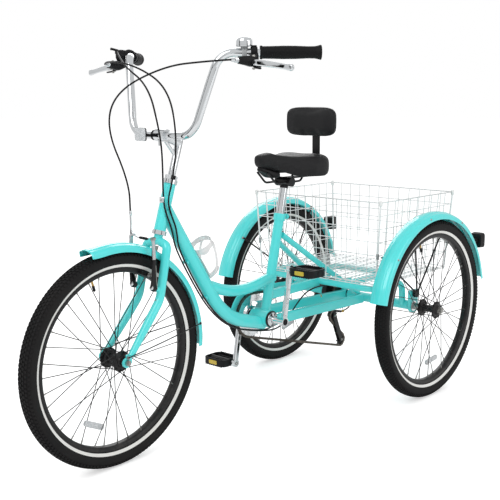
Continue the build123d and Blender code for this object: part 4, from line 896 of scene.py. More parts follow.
def makeGrip(label, hand):
    outline = [(0, 11.4)] + [(a, gripRadius(a)) for a in [k * 0.9 for k in range(183)]]
    outline += [(164.5, 17.6), (163.4, 15.5), (163.4, 6), (165.2, 3), (165.4, 0)]
    piece = spinPiece(label + "Grip", leverPoint(hand, grip["from"], 0, 0), leverRun(hand, 1, 0), outline,
                      (gripRubber,), 48, smooth=55)
    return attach(piece, "steering")


def makeLeverBody(label, hand):
    name = label + "LeverBody"
    shape = bmesh.new()
    spine = [leverPoint(hand, 2, 6, -8), leverPoint(hand, -2, 24, -18), leverPoint(hand, -8, 44, -24),
             leverPoint(hand, -24, 56, -23), leverPoint(hand, -45, 66, -22)]
    loftShape(shape, spine, (20, 26, 26, 21, 15), (20, 24, 29, 25, 19), (0, 0, 1), 6, 20, 4.0)
    tail = [leverPoint(hand, 4, 52, -38), leverPoint(hand, 6, 66, -42), leverPoint(hand, 10, 78, -44)]
    loftShape(shape, tail, (22, 17, 8), (6, 5, 4), (0, 0, 1), 3, 14, 3.0)
    spinProfile(shape, leverPoint(hand, 0, 0, 0), leverRun(hand, 1, 0),
                [(-9, 11.4), (-9, 14.6), (-7.5, 16), (7.5, 16), (9, 14.6), (9, 11.4)], 40, closed=True)
    loftShape(shape, [leverPoint(hand, -7, 0, 16.5), leverPoint(hand, 7, 0, 16.5)], (12, 12), (5, 5),
              (0, 0, 1), 1, 12, 5.0)
    body = solidPiece(name, shape, blackPlastic, "steering", bevel=0.5)
    pivot = leverPoint(hand, -5, 58, 0)
    for side, level in ((1, -11), (-1, -43)):
        makeDomeScrew(label + "LeverPin" + ("Top" if side > 0 else "Low"),
                      pivot + Vector((0, 0, level / 1000)), (0, 0, side), 4.6, steel, body="steering")
    makeDomeScrew(label + "ClampScrew", leverPoint(hand, 0, 13, -9), leverRun(hand, 0, 1, -0.7), 3.4, steel,
                  body="steering")
    start, run = leverPoint(hand, -44, 65.6, -22), leverRun(hand, -22, 7, 1)
    ridges = [(4 + k * 0.8, 7.3 if k % 2 else 6.7) for k in range(9)]
    spinPiece(label + "CableAdjuster", start, run, [(-3, 0), (-3, 5.4), (2.5, 5.4), (3, 7.4)] + ridges
              + [(11.5, 7.2), (12.5, 5.6), (20, 5.2), (22, 4.4), (22.4, 2.7), (20, 2.6)], (chrome,), 24,
              body="steering")
    return body


def makeLeverBlade(label, hand):
    name = label + "LeverBlade"
    spine = [leverPoint(hand, -5, 58, -27), leverPoint(hand, 3, 70, -29), leverPoint(hand, 20, 86, -31.5),
             leverPoint(hand, 44, 105, -35.5), leverPoint(hand, 66, 122.5, -40), leverPoint(hand, 80, 135,
                                                                                            -42.6),
             leverPoint(hand, 86, 140, -43.6), leverPoint(hand, 89, 142.6, -44)]
    shape = bmesh.new()
    loftShape(shape, spine, (11, 11, 8, 6.5, 7, 10, 11, 7), (15, 17, 16.5, 15, 14.5, 17, 16, 9), (0, 0, 1), 6,
              18, 2.8)
    blade = solidPiece(name, shape, chrome, smooth=50)
    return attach(blade, label + "_lever")


for hand, label in hands:
    handGrip = makeGrip(label, hand)
    leverBody = makeLeverBody(label, hand)
    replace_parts(makeLeverBlade(label, hand), label + "_brake_lever")
    if hand > 0:
        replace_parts(handGrip, "grips")
        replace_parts(leverBody, "lever_brackets")


def makeShifter():
    shape = bmesh.new()
    centre = leverPoint(-1, -6, 34, 0)
    loftShape(shape, [leverPoint(-1, 4, -2, 14), leverPoint(-1, 0, 12, 16.5), leverPoint(-1, -5, 26, 9),
                      leverPoint(-1, -14, 34, 6.5), leverPoint(-1, -21, 41, 14)], (26, 32, 30, 22, 11),
              (12, 15, 13, 12, 10), (0, 0, 1), 5, 20, 3.0)
    spinProfile(shape, centre, (0, 0, 1), [(-22, 0), (-22, 6.4), (-14, 7), (-8, 12), (-1, 15), (9.6, 15),
                                           (9.6, 0)], 32)
    solidPiece("shifterPod", shape, blackPlastic, "steering", bevel=0.5)
    cap = bmesh.new()
    spinProfile(cap, centre, (0, 0, 1), [(10, 0), (10, 15.6), (11, 17), (19, 16.6), (21.4, 14), (22.2, 8),
                                         (22.4, 0)], 40)
    loftShape(cap, [leverPoint(-1, -7, 42, 20), leverPoint(-1, -11, 56, 24), leverPoint(-1, -14, 62, 25)],
              (14, 10, 9), (8, 7, 8), (0, 0, 1), 4, 16, 3.0)
    thumb = solidPiece("shifterThumbPiece", cap, blackPlastic, "shifter", bevel=0.4)
    spinPiece("shifterDial", centre + Vector((0, 0, 0.0222)), (0, 0, 1),
              [(-1, 0), (-1, 9), (0.3, 9), (0.8, 8.2), (0.9, 0)], (alloy,), 32, body="shifter")
    return thumb


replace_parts(makeShifter(), "shift_lever")


def makeBell():
    middle = Vector((0.230, (barHigh + barRun * 0.066).y, 1.157))
    dome = spinPiece("bellDome", middle, (0, 0, 1),
                     [(-8, 0), (-8, 19.6), (-10.5, 20.6), (-11, 21.4), (-10, 21.7), (2, 21.6), (7.5, 20.4),
                      (11.5, 17), (13.4, 12), (14.2, 6), (14.4, 4.4), (15.4, 4), (15.8, 2.5),
                      (15.9, 0)], (chrome,), 56, smooth=50)
    shape = bmesh.new()
    spinProfile(shape, middle, (0, 0, 1), [(-17, 0), (-17, 8.4), (-12.5, 10), (-10.5, 13), (-8.6, 16),
                                           (-8.6, 0)], 28)
    spinProfile(shape, barHigh + barRun * 0.066, barRun,
                [(-6, 11.3), (-6, 13.6), (-5, 14.6), (5, 14.6), (6, 13.6), (6, 11.3)], 36, closed=True)
    lug = middle + Vector((-0.020, 0.016, -0.020))
    loftShape(shape, [middle + Vector((-0.004, 0.004, -0.0145)), lug + Vector((0.006, -0.005, 0.001)), lug],
              (12, 9, 8), (5, 3.4, 3), (0, 0, 1), 3, 14, 3.0)
    base = solidPiece("bellBase", shape, greyPlastic)
    hammer = bmesh.new()
    pin = middle + Vector((-0.020, 0.016, -0.016))
    spinProfile(hammer, pin, (0, 0, 1), [(-2, 0), (-2, 4), (2, 4), (2.4, 2), (2.4, 0)], 20)
    loftShape(hammer, [pin, pin + Vector((-0.007, 0.011, 0)), pin + Vector((-0.014, 0.022, 0))], (5, 4, 7),
              (3.6, 3.2, 4.4), (0, 0, 1), 4, 14, 2.6)
    striker = solidPiece("bellHammer", hammer, blackPlastic)
    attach(dome, "steering")
    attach(base, "steering")
    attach(striker, "bell_thumb")
    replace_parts(dome, "bell")
    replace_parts(striker, "bell_striker")


makeBell()


def makeFrontReflector():
    clamp = at(0, 902, 908)
    middle = at(-46, 940, 911)
    shape = bmesh.new()
    loftShape(shape, [middle + Vector((0, 0.0044, 0)), middle + Vector((0, 0.001, 0)),
                      middle + Vector((0, -0.0028, 0))],
              (36, 46, 46), (30, 37, 37), (0, 0, 1), 1, 24, 7.0)
    spinProfile(shape, clamp - Vector((0.024, 0, 0)), (-1, 0, 0),
                [(0, 11.3), (0, 14), (1, 14.8), (9, 14.8), (10, 14), (10, 11.3)], 36, closed=True)
    loftShape(shape, [clamp + Vector((-0.029, -0.012, 0)), clamp + Vector((-0.031, -0.022, 0)),
                      at(-40, 934, 910)],
              (11, 9, 14), (10, 8, 12), (0, 0, 1), 4, 14, 3.4)
    housing = solidPiece("frontReflectorHousing", shape, blackPlastic, smooth=35)
    lensShape = bmesh.new()
    loftShape(lensShape, [middle + Vector((0, -0.0026, 0)), middle + Vector((0, -0.0042, 0)),
                          middle + Vector((0, -0.0052, 0))],
              (45, 45, 41), (36, 36, 32.5), (0, 0, 1), 1, 24, 7.0)
    lens = solidPiece("frontReflectorLens", lensShape, clearLens, smooth=35)
    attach(addBevel(housing, 0.5), "steering")
    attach(lens, "steering")
    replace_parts(housing, "front_reflector")


makeFrontReflector()
for hand, label in hands:  # barrel clamp bolts and the stem's wedge bolt
    makeDomeScrew(label + "StemClampBolt", at(hand * 12, 884, 917), (0, 0.75, 0.66), 4.2, chrome,
                  body="steering")
spinPiece("stemWedgeBolt", at(0, 911, 895), (0, 0, 1),
          [(0, 0), (0, 6.4), (4.6, 6.4), (5.6, 5.4), (5.6, 3), (3, 2.8), (3, 0)], (chrome,), 20,
          body="steering")
print("controls made")


# control cables

cables = {
    "diameter": 0.005,
    "front": [leverPoint(1, -65.4, 72.4, -21), at(214, 930, 1106), at(60, 945, 1096), at(-95, 985, 1030),
              at(-122, 1003, 930), at(-62, 975, 780), at(-47, 984, 690), at(-46, 985, 627.6)],
    "gear": [leverPoint(-1, -23, 41.5, 16), at(-112, 948, 1104), at(-6, 944, 1046), at(20, 930, 920),
             at(25, 925, 850), at(12, 914, 724), at(23, 911, 684), at(20, 890, 645), at(-6, 851, 567),
             at(-6, 681, 314), at(-6, 465, 255), at(-12, 400, 266), at(-34, 220, 262), at(-63, 70, 262.5),
             at(-63, -45, 262.5), at(-62, -82, 250), at(-60, -84, 226), at(-58.2, -29.6, 224)],
    "rearBrake": [leverPoint(-1, -65.4, 72.4, -21), at(-190, 946, 1116), at(-60, 945, 1102),
                  at(56, 927, 1040), at(86, 925, 905), at(64, 925, 785), at(21, 906, 726), at(27, 897, 684),
                  at(28, 879, 645), at(6, 851, 567), at(6, 681, 314), at(6, 465, 255), at(8, 380, 262),
                  at(14, 300, 345), at(16, 240, 368), at(10, 130, 362), at(-40, 80, 368), at(-99, 48, 362.5)],
}


def makeCableCurve(name, points, diameter):
    data = bpy.data.curves.new(name, "CURVE")
    data.dimensions = "3D"
    spline = data.splines.new("NURBS")
    spline.points.add(len(points) - 1)
    for node, place in zip(spline.points, points):
        node.co = (*place, 1.0)
    spline.order_u = 3
    spline.use_endpoint_u = True
    spline.resolution_u = 14
    data.bevel_depth = diameter / 2
    data.bevel_resolution = 4
    data.use_fill_caps = True
    curve = bpy.data.objects.new(name, data)
    bpy.context.scene.collection.objects.link(curve)
    return curve


def plainMesh(curve):
    bpy.context.view_layer.update()
    return bpy.data.meshes.new_from_object(curve.evaluated_get(bpy.context.evaluated_depsgraph_get()))


def makeSteeredCable(name, points):
    curve = makeCableCurve(name + "Line", points, 0.0)
    line = [v.co.copy() for v in plainMesh(curve).vertices]
    curve.data.bevel_depth = cables["diameter"] / 2
    mesh = plainMesh(curve)
    bpy.data.objects.remove(curve)
    mesh.materials.clear()
    piece = newPiece(name, mesh, rubber)
    mesh.polygons.foreach_set("use_smooth", [True] * len(mesh.polygons))
    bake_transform(piece)
    return piece


frontCable = makeCableCurve("frontBrakeCable", cables["front"], cables["diameter"])
frontCable.data.materials.append(rubber)
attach(frontCable, "steering")
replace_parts(frontCable, "front_brake_cable")
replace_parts(makeSteeredCable("gearCable", cables["gear"]), "gear_cable")
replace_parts(makeSteeredCable("rearBrakeCable", cables["rearBrake"]), "rear_brake_cable")
print("cables made")


# saddle and backrest

padding = {"voxel": 0.0045, "pressure": 4.0, "frames": 20, "saddleCap": 0.006, "backrestCap": 0.005}


def ringSection(halfWide, low, high, dip, sides, roundness, base):
    ring = []
    arch = max(0.0, base - low)  # how far the skirt hangs under the base board
    for c, d in circlePoints(sides):
        power = roundness if d >= 0 else roundness + (0.32 - roundness) * min(1.0, arch / 12)
        x = squared(c, power) * halfWide
        z = (low + high) / 2 + squared(d, power) * (high - low) / 2
        if d > 0:
            z -= dip * (1 - (x / halfWide) ** 2) ** 2
        else:
            z += arch * min(1.0, max(0.0, (0.93 - abs(x) / halfWide) / 0.18))
        ring.append((x, z))
    return ring


def stationShape(stations, base, sides=48, roundness=0.62):
    shape = bmesh.new()
    rows = smoothPath([Vector((a, w, 0)) for a, w, low, high, dip in stations], 5)
    levels = smoothPath([Vector((low, high, dip)) for a, w, low, high, dip in stations], 5)
    rings = []
    for row, level in zip(rows, levels):
        ring = ringSection(row.y, level.x, level.y, level.z, sides, roundness, base)
        rings.append([shape.verts.new(at(x, row.x, z)) for x, z in ring])
    skinRings(shape, rings)
    return shape


def stuffPiece(name, shape, cap, material):
    piece = newPiece(name, finishMesh(shape, name + "Form", 180), material)
    even = piece.modifiers.new("even", "REMESH")
    even.mode = "VOXEL"
    even.voxel_size = padding["voxel"]
    mesh = plainMesh(piece)
    piece.modifiers.clear()
    piece.data = mesh
    start = [v.co.copy() for v in mesh.vertices]
    cloth = piece.modifiers.new("stuffing", "CLOTH")
    cloth.settings.use_pressure = True
    cloth.settings.uniform_pressure_force = padding["pressure"]
    cloth.settings.effector_weights.gravity = 0
    cloth.point_cache.frame_end = padding["frames"]
    for frameNow in range(1, padding["frames"] + 1):
        bpy.context.scene.frame_set(frameNow)
    swollen = plainMesh(piece)
    for vert, here, there in zip(mesh.vertices, start, swollen.vertices):
        move = there.co - here
        vert.co = here + move * min(1.0, cap / max(move.length, 1e-9))
    piece.modifiers.clear()
    bpy.context.scene.frame_set(1)
    smooth = piece.modifiers.new("softened", "SMOOTH")
    smooth.iterations = 12
    finer = piece.modifiers.new("finer", "SUBSURF")
    finer.levels = finer.render_levels = 1
    mesh = plainMesh(piece)
    piece.modifiers.clear()
    piece.data = mesh
    mesh.polygons.foreach_set("use_smooth", [True] * len(mesh.polygons))
    return piece


saddleStations = ((505, 13, 806, 830, 0), (501, 20, 800, 835, 0), (490, 25, 794, 837, 0),
                  (465, 30, 787, 835, 0), (443, 33, 777, 829, 0), (428, 40, 769, 825, 0),
                  (405, 54, 759, 823, 1), (385, 68, 751, 821, 2), (360, 89, 747, 820, 3),
                  (335, 107, 746, 821, 4), (310, 114, 747, 824, 6),
                  (288, 113, 750, 828, 7), (270, 105, 757, 828, 6), (256, 92, 766, 824, 4),
                  (248, 74, 777, 816, 2))
saddle = stuffPiece("saddleCushion", stationShape(saddleStations, 779), padding["saddleCap"], vinyl)
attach(saddle, "seat")
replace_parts(saddle, "saddle")


def makeSaddleTray():
    stations = [(a, max(w - 15, 8), 772, 782, 0) for a, w, *_ in saddleStations if 262 < a < 440]
    solidPiece("saddleTray", stationShape(stations, 0, 40, 0.5), blackPlastic, "seat")
    keel = bmesh.new()
    loftShape(keel, [at(0, 492, 788), at(0, 468, 778), at(0, 444, 768), at(0, 428, 767)], (22, 42, 56, 60),
              (12, 16, 22, 20), (0, 0, 1), 4, 20, 3.6)
    solidPiece("saddleNoseShell", keel, blackPlastic, "seat")


makeSaddleTray()


def makeBackrest():
    half, tall, deep, bow = 101.0, 50.0, 32.0, 9.0
    columns, sides = 30, 40
    shape = bmesh.new()
    rings = []
    for k in range(columns + 1):
        share = -1 + 2 * k / columns
        side = half * math.sin(share * math.pi / 2)
        fall = (1 - abs(side / half) ** 3.4) ** (1 / 3.4) if abs(side) < half else 0.0
        rise = max(tall * (0.34 + 0.66 * fall), 4)
        thick = max(deep * (0.45 + 0.55 * fall), 4)
        middle = 226.6 + bow * (side / half) ** 2
        rings.append([shape.verts.new(at(side, middle + squared(c, 0.55) * thick / 2,
                                         930 + squared(d, 0.6) * rise))
                      for c, d in circlePoints(sides)])
    skinRings(shape, rings)
    return stuffPiece("backrestCushion", shape, padding["backrestCap"], vinyl)


backrest = makeBackrest()
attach(backrest, "seat")
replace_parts(backrest, "backrest_pad")


def makeWelt():  # the piped seam round the face of the backrest lies on the stuffed surface
    tree = BVHTree.FromObject(backrest, bpy.context.evaluated_depsgraph_get())
    centre = at(0, 227, 930)
    run = []
    ring = circlePoints(96)
    for c, d in ring + ring[:1]:
        outward = Vector((squared(c, 0.6) * 0.104, 0, squared(d, 0.6) * 0.051))
        start = centre + outward * 1.6 + Vector((0, -0.004 - 0.008 * (outward.x / 0.1) ** 2, 0))
        hit = tree.ray_cast(start, -outward.normalized())[0]
        if hit:
            run.append(hit)
    wirePiece("backrestWelt", [run + run[:1]], 2.6, vinyl, 10, body="seat")


makeWelt()
for hand, label in hands:
    for level in (890, 905):
        makeDomeScrew(f"{label}BackrestBolt{level}", at(hand * 8, 204.6, level), (0, 1, 0), 4.0, steel,
                      body="seat")
print("seat made")


# front brake

headAngle = math.radians(72)
brakeForward = Vector((0, -math.sin(headAngle), math.cos(headAngle)))


def makeBrakeArm(label, hand):  # one rim brake arm with its shoe, return spring and pivot bolt
    body = "front_brake_" + label
    root = at(hand * 42, 957, 482) + brakeForward * 0.0203
    top = at(hand * 46, 985, 627)
    start = root + brakeForward * 0.0085
    run = top - start
    shape = bmesh.new()
    loftShape(shape, [start, start + run * 0.3 + Vector((hand * 0.004, 0, 0)),
                      start + run * 0.62 + Vector((hand * 0.004, 0, 0))],
              (10, 8, 7.5), (20, 15, 12), (0, -1, 0), 5, 16, 3.6)
    spinProfile(shape, root, brakeForward, [(0, 4.2), (0, 8.6), (1, 9.2), (12.5, 9.2), (14, 8), (14, 4.2)],
                28, closed=True)
    arm = solidPiece(label + "BrakeArm", shape, blackMetal, body, 45, bevel=0.5)
    head = bmesh.new()
    loftShape(head, [start + run * 0.6 + Vector((hand * 0.004, 0, 0)),
                     start + run * 0.8 + Vector((hand * 0.002, 0, 0)), top],
              (8, 8, 8), (12.4, 12, 10), (0, -1, 0), 5, 16, 3.4)
    loftShape(head, [top + Vector((0, 0, -0.004)), top + Vector((0, 0, 0.006))], (9, 8), (12, 9), (0, -1, 0),
              2, 16, 3.0)
    solidPiece(label + "BrakeArmHead", head, alloy, body, 45, bevel=0.5)
    centre = wheels["front"]["centre"]
    face = at(hand * 15.4, 985, 526.8)
    reach = (face - centre - Vector((face.x, 0, 0))).normalized()
    along = Vector((0, reach.z, -reach.y))
    shoe = bmesh.new()
    points = [centre + Vector((hand * 0.0198, 0, 0)) + (reach * math.cos(a) + along * math.sin(a)) * 0.2485
              for a in [math.radians(k) for k in (-6.0, -3.0, 0.0, 3.0, 6.0)]]
    loftShape(shoe, points, (8.6, 9, 9, 9, 8.6), (8.4, 9.6, 10, 9.6, 8.4), tuple(reach), 3, 16, 5.0)
    solidPiece(label + "BrakeShoe", shoe, tyreRubber, body, 45, bevel=0.4)
    spinPiece(label + "ShoePost", face + Vector((hand * 0.008, 0, 0)), (hand, 0, 0),
              [(0, 0), (0, 3), (4, 3), (4, 6.6), (7.5, 6.6), (8, 5.4), (12, 5.4), (12, 3), (20, 3), (20, 6),
               (25, 6), (26, 4.5), (26, 0)], (steel,), 20, body=body)
    spinPiece(label + "BrakePivotBolt", root + brakeForward * 0.0142, brakeForward,
              [(0, 0), (0, 7.2), (2.6, 7.2), (3.8, 6), (3.8, 2.8), (1.8, 2.6), (1.8, 0)], (chrome,), 24,
              body=body)
    side = Vector((hand * 0.0085, 0.004, 0))
    wirePiece(label + "ReturnSpring",
              [smoothPath([root + brakeForward * 0.004 + side, start + run * 0.15 + side * 1.1,
                           start + run * 0.45 + side * 0.9, start + run * 0.6 + side * 0.4], 6)],
              1.8, steel, body=body)
    return arm


for hand, label in hands:
    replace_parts(makeBrakeArm(label, hand), label + "_brake_arm")
    makeDomeScrew(label + "ForkCrownPlug", at(hand * 44, 976, 455), (0, -1, 0.2), 4.4, steel, body="steering")


def makeNoodle():
    path = smoothPath([at(-46, 985, 697), at(-46, 985, 676), at(-45, 985.5, 655), at(-38, 986, 638),
                       at(-22, 986, 629.5), at(-8, 985.5, 628.5)], 6)
    pipe = wirePiece("brakeNoodle", [path], 4.6, chrome, 14)
    ferrule = spinPiece("noodleFerrule", at(-46, 984.9, 694), (0, 0, 1),
                        [(-7, 0), (-7, 3.2), (-5, 4.2), (5, 4.2), (6, 3.4), (6, 0)], (chrome,), 18)
    pleats = [(2 + 3 * k, 4.4 if k % 2 else 3.2) for k in range(11)]
    boot = spinPiece("noodleBoot", at(-9, 985.5, 628.4), (1, 0, -0.02),
                     [(0, 0), (0, 3.2)] + pleats + [(35, 2), (36, 0)], (rubber,), 18)
    wire = wirePiece("brakeLinkWire", [[at(-8, 985.5, 628.4), at(55, 985, 627)]], 1.6, steel)
    holder = bmesh.new()
    loftShape(holder, [at(-46, 985, 627), at(-40, 985.5, 634), at(-30, 986, 634)], (9, 8, 7), (10, 9, 8),
              (0, -1, 0), 3, 14, 3.0)
    link = solidPiece("noodleHolder", holder, alloy)
    anchor = spinPiece("cableAnchorBolt", at(46, 978, 630), (0, -1, 0),
                       [(0, 0), (0, 5), (12, 5), (12, 4), (15, 4), (15, 0)], (steel,), 6, smooth=20)
    for piece in (pipe, ferrule, boot, wire, link, anchor):
        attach(piece, "steering")


makeNoodle()
print("front brake made")


# pedals, cranks and bottom bracket

pedalSizes = {"wide": 96, "long": 80, "tall": 24, "wall": 5.0, "axle": 6.1, "side": 160}
crank = {"length": 0.170, "lean": math.radians(10), "left": 90, "right": -96}
crankReach = Vector((0, math.sin(crank["lean"]), math.cos(crank["lean"]))) * crank["length"]


def ringFrame(shape, centre, wide, long, tall, wall):
    power, sides = 5.0, 48
    loops = []
    for inset, level in ((0, -tall / 2 + 1), (0.9, -tall / 2), (wall - 0.9, -tall / 2), (wall, -tall / 2 + 1),
                         (wall, tall / 2 - 1), (wall - 0.9, tall / 2), (0.9, tall / 2), (0, tall / 2 - 1)):
        angles = [2 * math.pi * (s + 0.5) / sides for s in range(sides)]
        loops.append([shape.verts.new(centre + Vector((squared(math.cos(a), 2 / power) * (wide / 2 - inset),
                                                       squared(math.sin(a), 2 / power) * (long / 2 - inset),
                                                       level)) / 1000) for a in angles])
    for here, there in zip(loops, loops[1:] + loops[:1]):
        for s in range(sides):
            shape.faces.new((here[s], here[(s + 1) % sides], there[(s + 1) % sides], there[s]))


def makePedal(label, hand):
    body = label + "_pedal_body"
    centre = at(hand * pedalSizes["side"], *bottomBracket) + crankReach * hand
    halfWide, halfLong = pedalSizes["wide"] / 2, pedalSizes["long"] / 2
    shape = bmesh.new()
    ringFrame(shape, centre, pedalSizes["wide"], pedalSizes["long"], pedalSizes["tall"], pedalSizes["wall"])
    spinProfile(shape, centre, (1, 0, 0),
                [(2 - halfWide, pedalSizes["axle"]), (2 - halfWide, 10.5), (-22, 9), (22, 9),
                 (halfWide - 2, 10.5), (halfWide - 2, pedalSizes["axle"])], 28, closed=True)
    for end in (-1, 1):
        for reach in (10, 23):
            boxShape(shape, centre + Vector((0, end * reach / 1000, 0)), (2 * halfWide - 6, 3, 12))
        for k in range(9):  # gripping teeth along the front and rear edges
            for face in (-1, 1):
                spot = Vector(((k - 4) * 0.0088, end * (halfLong - 2.4) / 1000, face * 0.0124))
                boxShape(shape, centre + spot, (3.6, 3.4, 1.8))
    for across in (-28, 0, 28):
        boxShape(shape, centre + Vector((across / 1000, 0, -0.006)), (3, 2 * halfLong - 8, 6))
    cage = solidPiece(label + "PedalCage", shape, blackPlastic, body)
    for end, where in ((-1, "Front"), (1, "Rear")):
        lensShape = bmesh.new()
        middle = centre + Vector((0, end * (halfLong - 0.2) / 1000, 0))
        loftShape(lensShape, [middle, middle + Vector((0, end * 0.0014, 0)),
                              middle + Vector((0, end * 0.0022, 0))],
                  (36, 36, 34), (13.5, 13.5, 12), (0, 0, 1), 1, 20, 7.0)
        solidPiece(f"{label}Pedal{where}Lens", lensShape, amberLens, body, 35)
    spinPiece(label + "PedalCap", centre + Vector((hand * (halfWide - 1.8) / 1000, 0, 0)), (hand, 0, 0),
              [(0, 0), (0, 9.4), (2.6, 9), (3.4, 6.5), (3.4, 0)], (blackPlastic,), 24, body=body)
    return cage


for hand, label in hands:
    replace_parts(makePedal(label, hand), label + "_pedal")
    side = crank[label]
    dustCap = spinPiece(label + "CrankDustCap", at(side + hand * 6.5, *bottomBracket), (hand, 0, 0),
                        [(-1, 0), (-1, 10.6), (0.6, 10.6), (1.6, 9.4), (1.9, 5), (1.5, 3.6), (1.5, 0)],
                        (blackPlastic,), 28)
    spindleNut = spinPiece(label + "PedalSpindleEnd", at(side - hand * 6.5, *bottomBracket) + crankReach
                           * hand,
                           (-hand, 0, 0), [(-1, 0), (-1, 6.2), (0.8, 6), (0.9, 3), (-0.5, 2.8), (-0.5, 0)],
                           (steel,), 24)
    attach(dustCap, "cranks")
    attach(spindleNut, "cranks")


def makeBearingCup():  # the pierced cup at the rider's left of the bottom bracket, and its lock ring
    place = at(35.6, *bottomBracket)
    spinPiece("bottomBracketLockRing", place, (1, 0, 0),
              [(0, 22.6), (0, 26.4), (1.2, 27), (4.6, 27), (5.4, 26.2), (5.4, 22.6)], (blackMetal,), 48,
              closed=True, body="frame")
    spinPiece("bottomBracketCover", at(41.9, *bottomBracket), (1, 0, 0),
              [(0, 11.6), (0, 22.6), (1, 23), (2, 22.6), (2.8, 20), (3, 16), (4.5, 12.6), (4.5, 11.6)],
              (chrome,), 48, closed=True, body="cranks")
    holes = bmesh.new()
    for k in range(8):
        angle = 2 * math.pi * k / 8 + 0.3
        spot = at(44.2, *bottomBracket) + Vector((0, math.cos(angle), math.sin(angle))) * 0.0178
        spinProfile(holes, spot, (1, 0, 0), [(-1, 0), (-1, 2.9), (0.8, 2.9), (0.3, 2.2), (0.3, 0)], 14)
    solidPiece("bottomBracketPiercings", holes, rubber, "cranks")
    bolts = bmesh.new()
    for k in range(5):
        angle = 2 * math.pi * (k + 0.5) / 5 + math.pi / 2
        spot = at(-45.4, *bottomBracket) + Vector((0, math.cos(angle), math.sin(angle))) * 0.037
        spinProfile(bolts, spot, (1, 0, 0), [(0, 0), (0, 5.4), (1.6, 5.4), (2.3, 4.6), (2.3, 2.8), (0.8, 2.6),
                                             (0.8, 0)], 18)
    solidPiece("chainringBolts", bolts, chrome, "cranks")


makeBearingCup()
print("pedals made")


# bottle cage, clips and small fittings

def makeBottleCage():  # a moulded cage: back plate, ring, two swept arms and a lip under the bottle
    up = cageUp
    out = Vector((0, up.z, -up.y))
    foot = at(0, 742, 461) + out * ((cage["tube"] / 2 + 34.9) / 1000)
    shape = bmesh.new()
    spinProfile(shape, foot + up * 0.104, up, [(-8, 32.2), (-9, 33.6), (-8, 34.8), (7, 34.8), (9, 33.6),
                                               (7, 32.2)], 56, closed=True)
    back = foot - out * 0.0335
    loftShape(shape, [back + up * 0.002, back + up * 0.03, back + up * 0.08, back + up * 0.114],
              (24, 30, 30, 24), (4, 4, 4, 4), tuple(out), 4, 18, 4.0)
    for hand in (-1, 1):
        side = Vector((hand, 0, 0))
        loftShape(shape, [back + side * 0.008 + up * 0.004, foot - out * 0.018 + side * 0.029 + up * 0.022,
                          foot + side * 0.0345 + up * 0.052, foot + out * 0.014 + side * 0.031 + up * 0.078,
                          foot + out * 0.026 + side * 0.0215 + up * 0.1], (13, 11, 9, 9, 12), (3, 3, 3, 3, 3),
                  (hand, 0, 0), 6, 16, 3.6)
        loftShape(shape, [back + side * 0.011 + up * 0.1, foot - out * 0.02 + side * 0.026 + up * 0.092,
                          foot - out * 0.006 + side * 0.0338 + up * 0.098], (12, 9, 9), (3, 3, 3),
                  (hand, 0, 0), 5, 14, 3.4)
    loftShape(shape, [back + up * 0.004, foot - out * 0.016, foot + out * 0.004 - up * 0.0005,
                      foot + out * 0.016 + up * 0.006], (26, 24, 20, 14), (3.4, 3, 3, 3), tuple(up), 5, 16,
              3.6)
    piece = solidPiece("bottleCage", shape, cagePlastic, "frame", 45)
    for level in (0.03, 0.086):
        makeDomeScrew(f"cageScrew{round(level * 1000)}", back + up * level + out * 0.002, tuple(out), 4.4,
                      steel, body="frame")
    return piece


cage = {"tube": 43.0}  # the slanting tube that carries the bottle cage
cageUp = (at(0, 907.5, 701.5) - at(0, 663, 338.6)).normalized()
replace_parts(makeBottleCage(), "bottle_cage")


def makeCableClip():  # the bright clip that holds the cables to the head tube, with its little screw
    middle = at(17, 924, 731)
    shape = bmesh.new()
    boxShape(shape, middle, (6, 12, 17))
    loftShape(shape, [middle + Vector((0.001, 0.002, 0.005)), middle + Vector((0.008, 0.004, 0.005))],
              (10, 7), (5, 4), (0, 0, 1), 2, 14, 3.0)
    solidPiece("cableClip", shape, chrome, "frame", 35, bevel=1.0)
    makeDomeScrew("cableClipScrew", middle + Vector((0.002, -0.006, -0.001)), (0.3, -1, 0), 3.0, steel,
                  body="frame")


makeCableClip()
fittings = (("stayPlateBolt", at(-8, 162, 322), (1, 0, 0), 5.4, brass, "frame"),
            ("cableStopBolt", at(60, 121, 272), (1, 0, 0), 5.4, brass, "frame"),
            ("guardFrontScrew", at(-56.4, 448.7, 392), (-1, 0, 0), 4.2, steel, "frame"),
            ("guardRearScrew", at(-56.4, 206, 368), (-1, 0, 0), 3.8, steel, "frame"),
            ("upperPulleyBolt", at(-38.6, 35, 222), (1, 0, 0), 4.4, steel, "frame"),
            ("lowerPulleyBolt", at(-38.6, -8, 124), (1, 0, 0), 4.4, steel, "frame"),
            ("changerPivotBolt", at(-72, 30, 250), (-1, 0, 0), 6.0, steel, "frame"))
for name, place, outward, size, finish, body in fittings:
    makeDomeScrew(name, place, outward, size, finish, body)
print("fittings made")


# carried-over solids

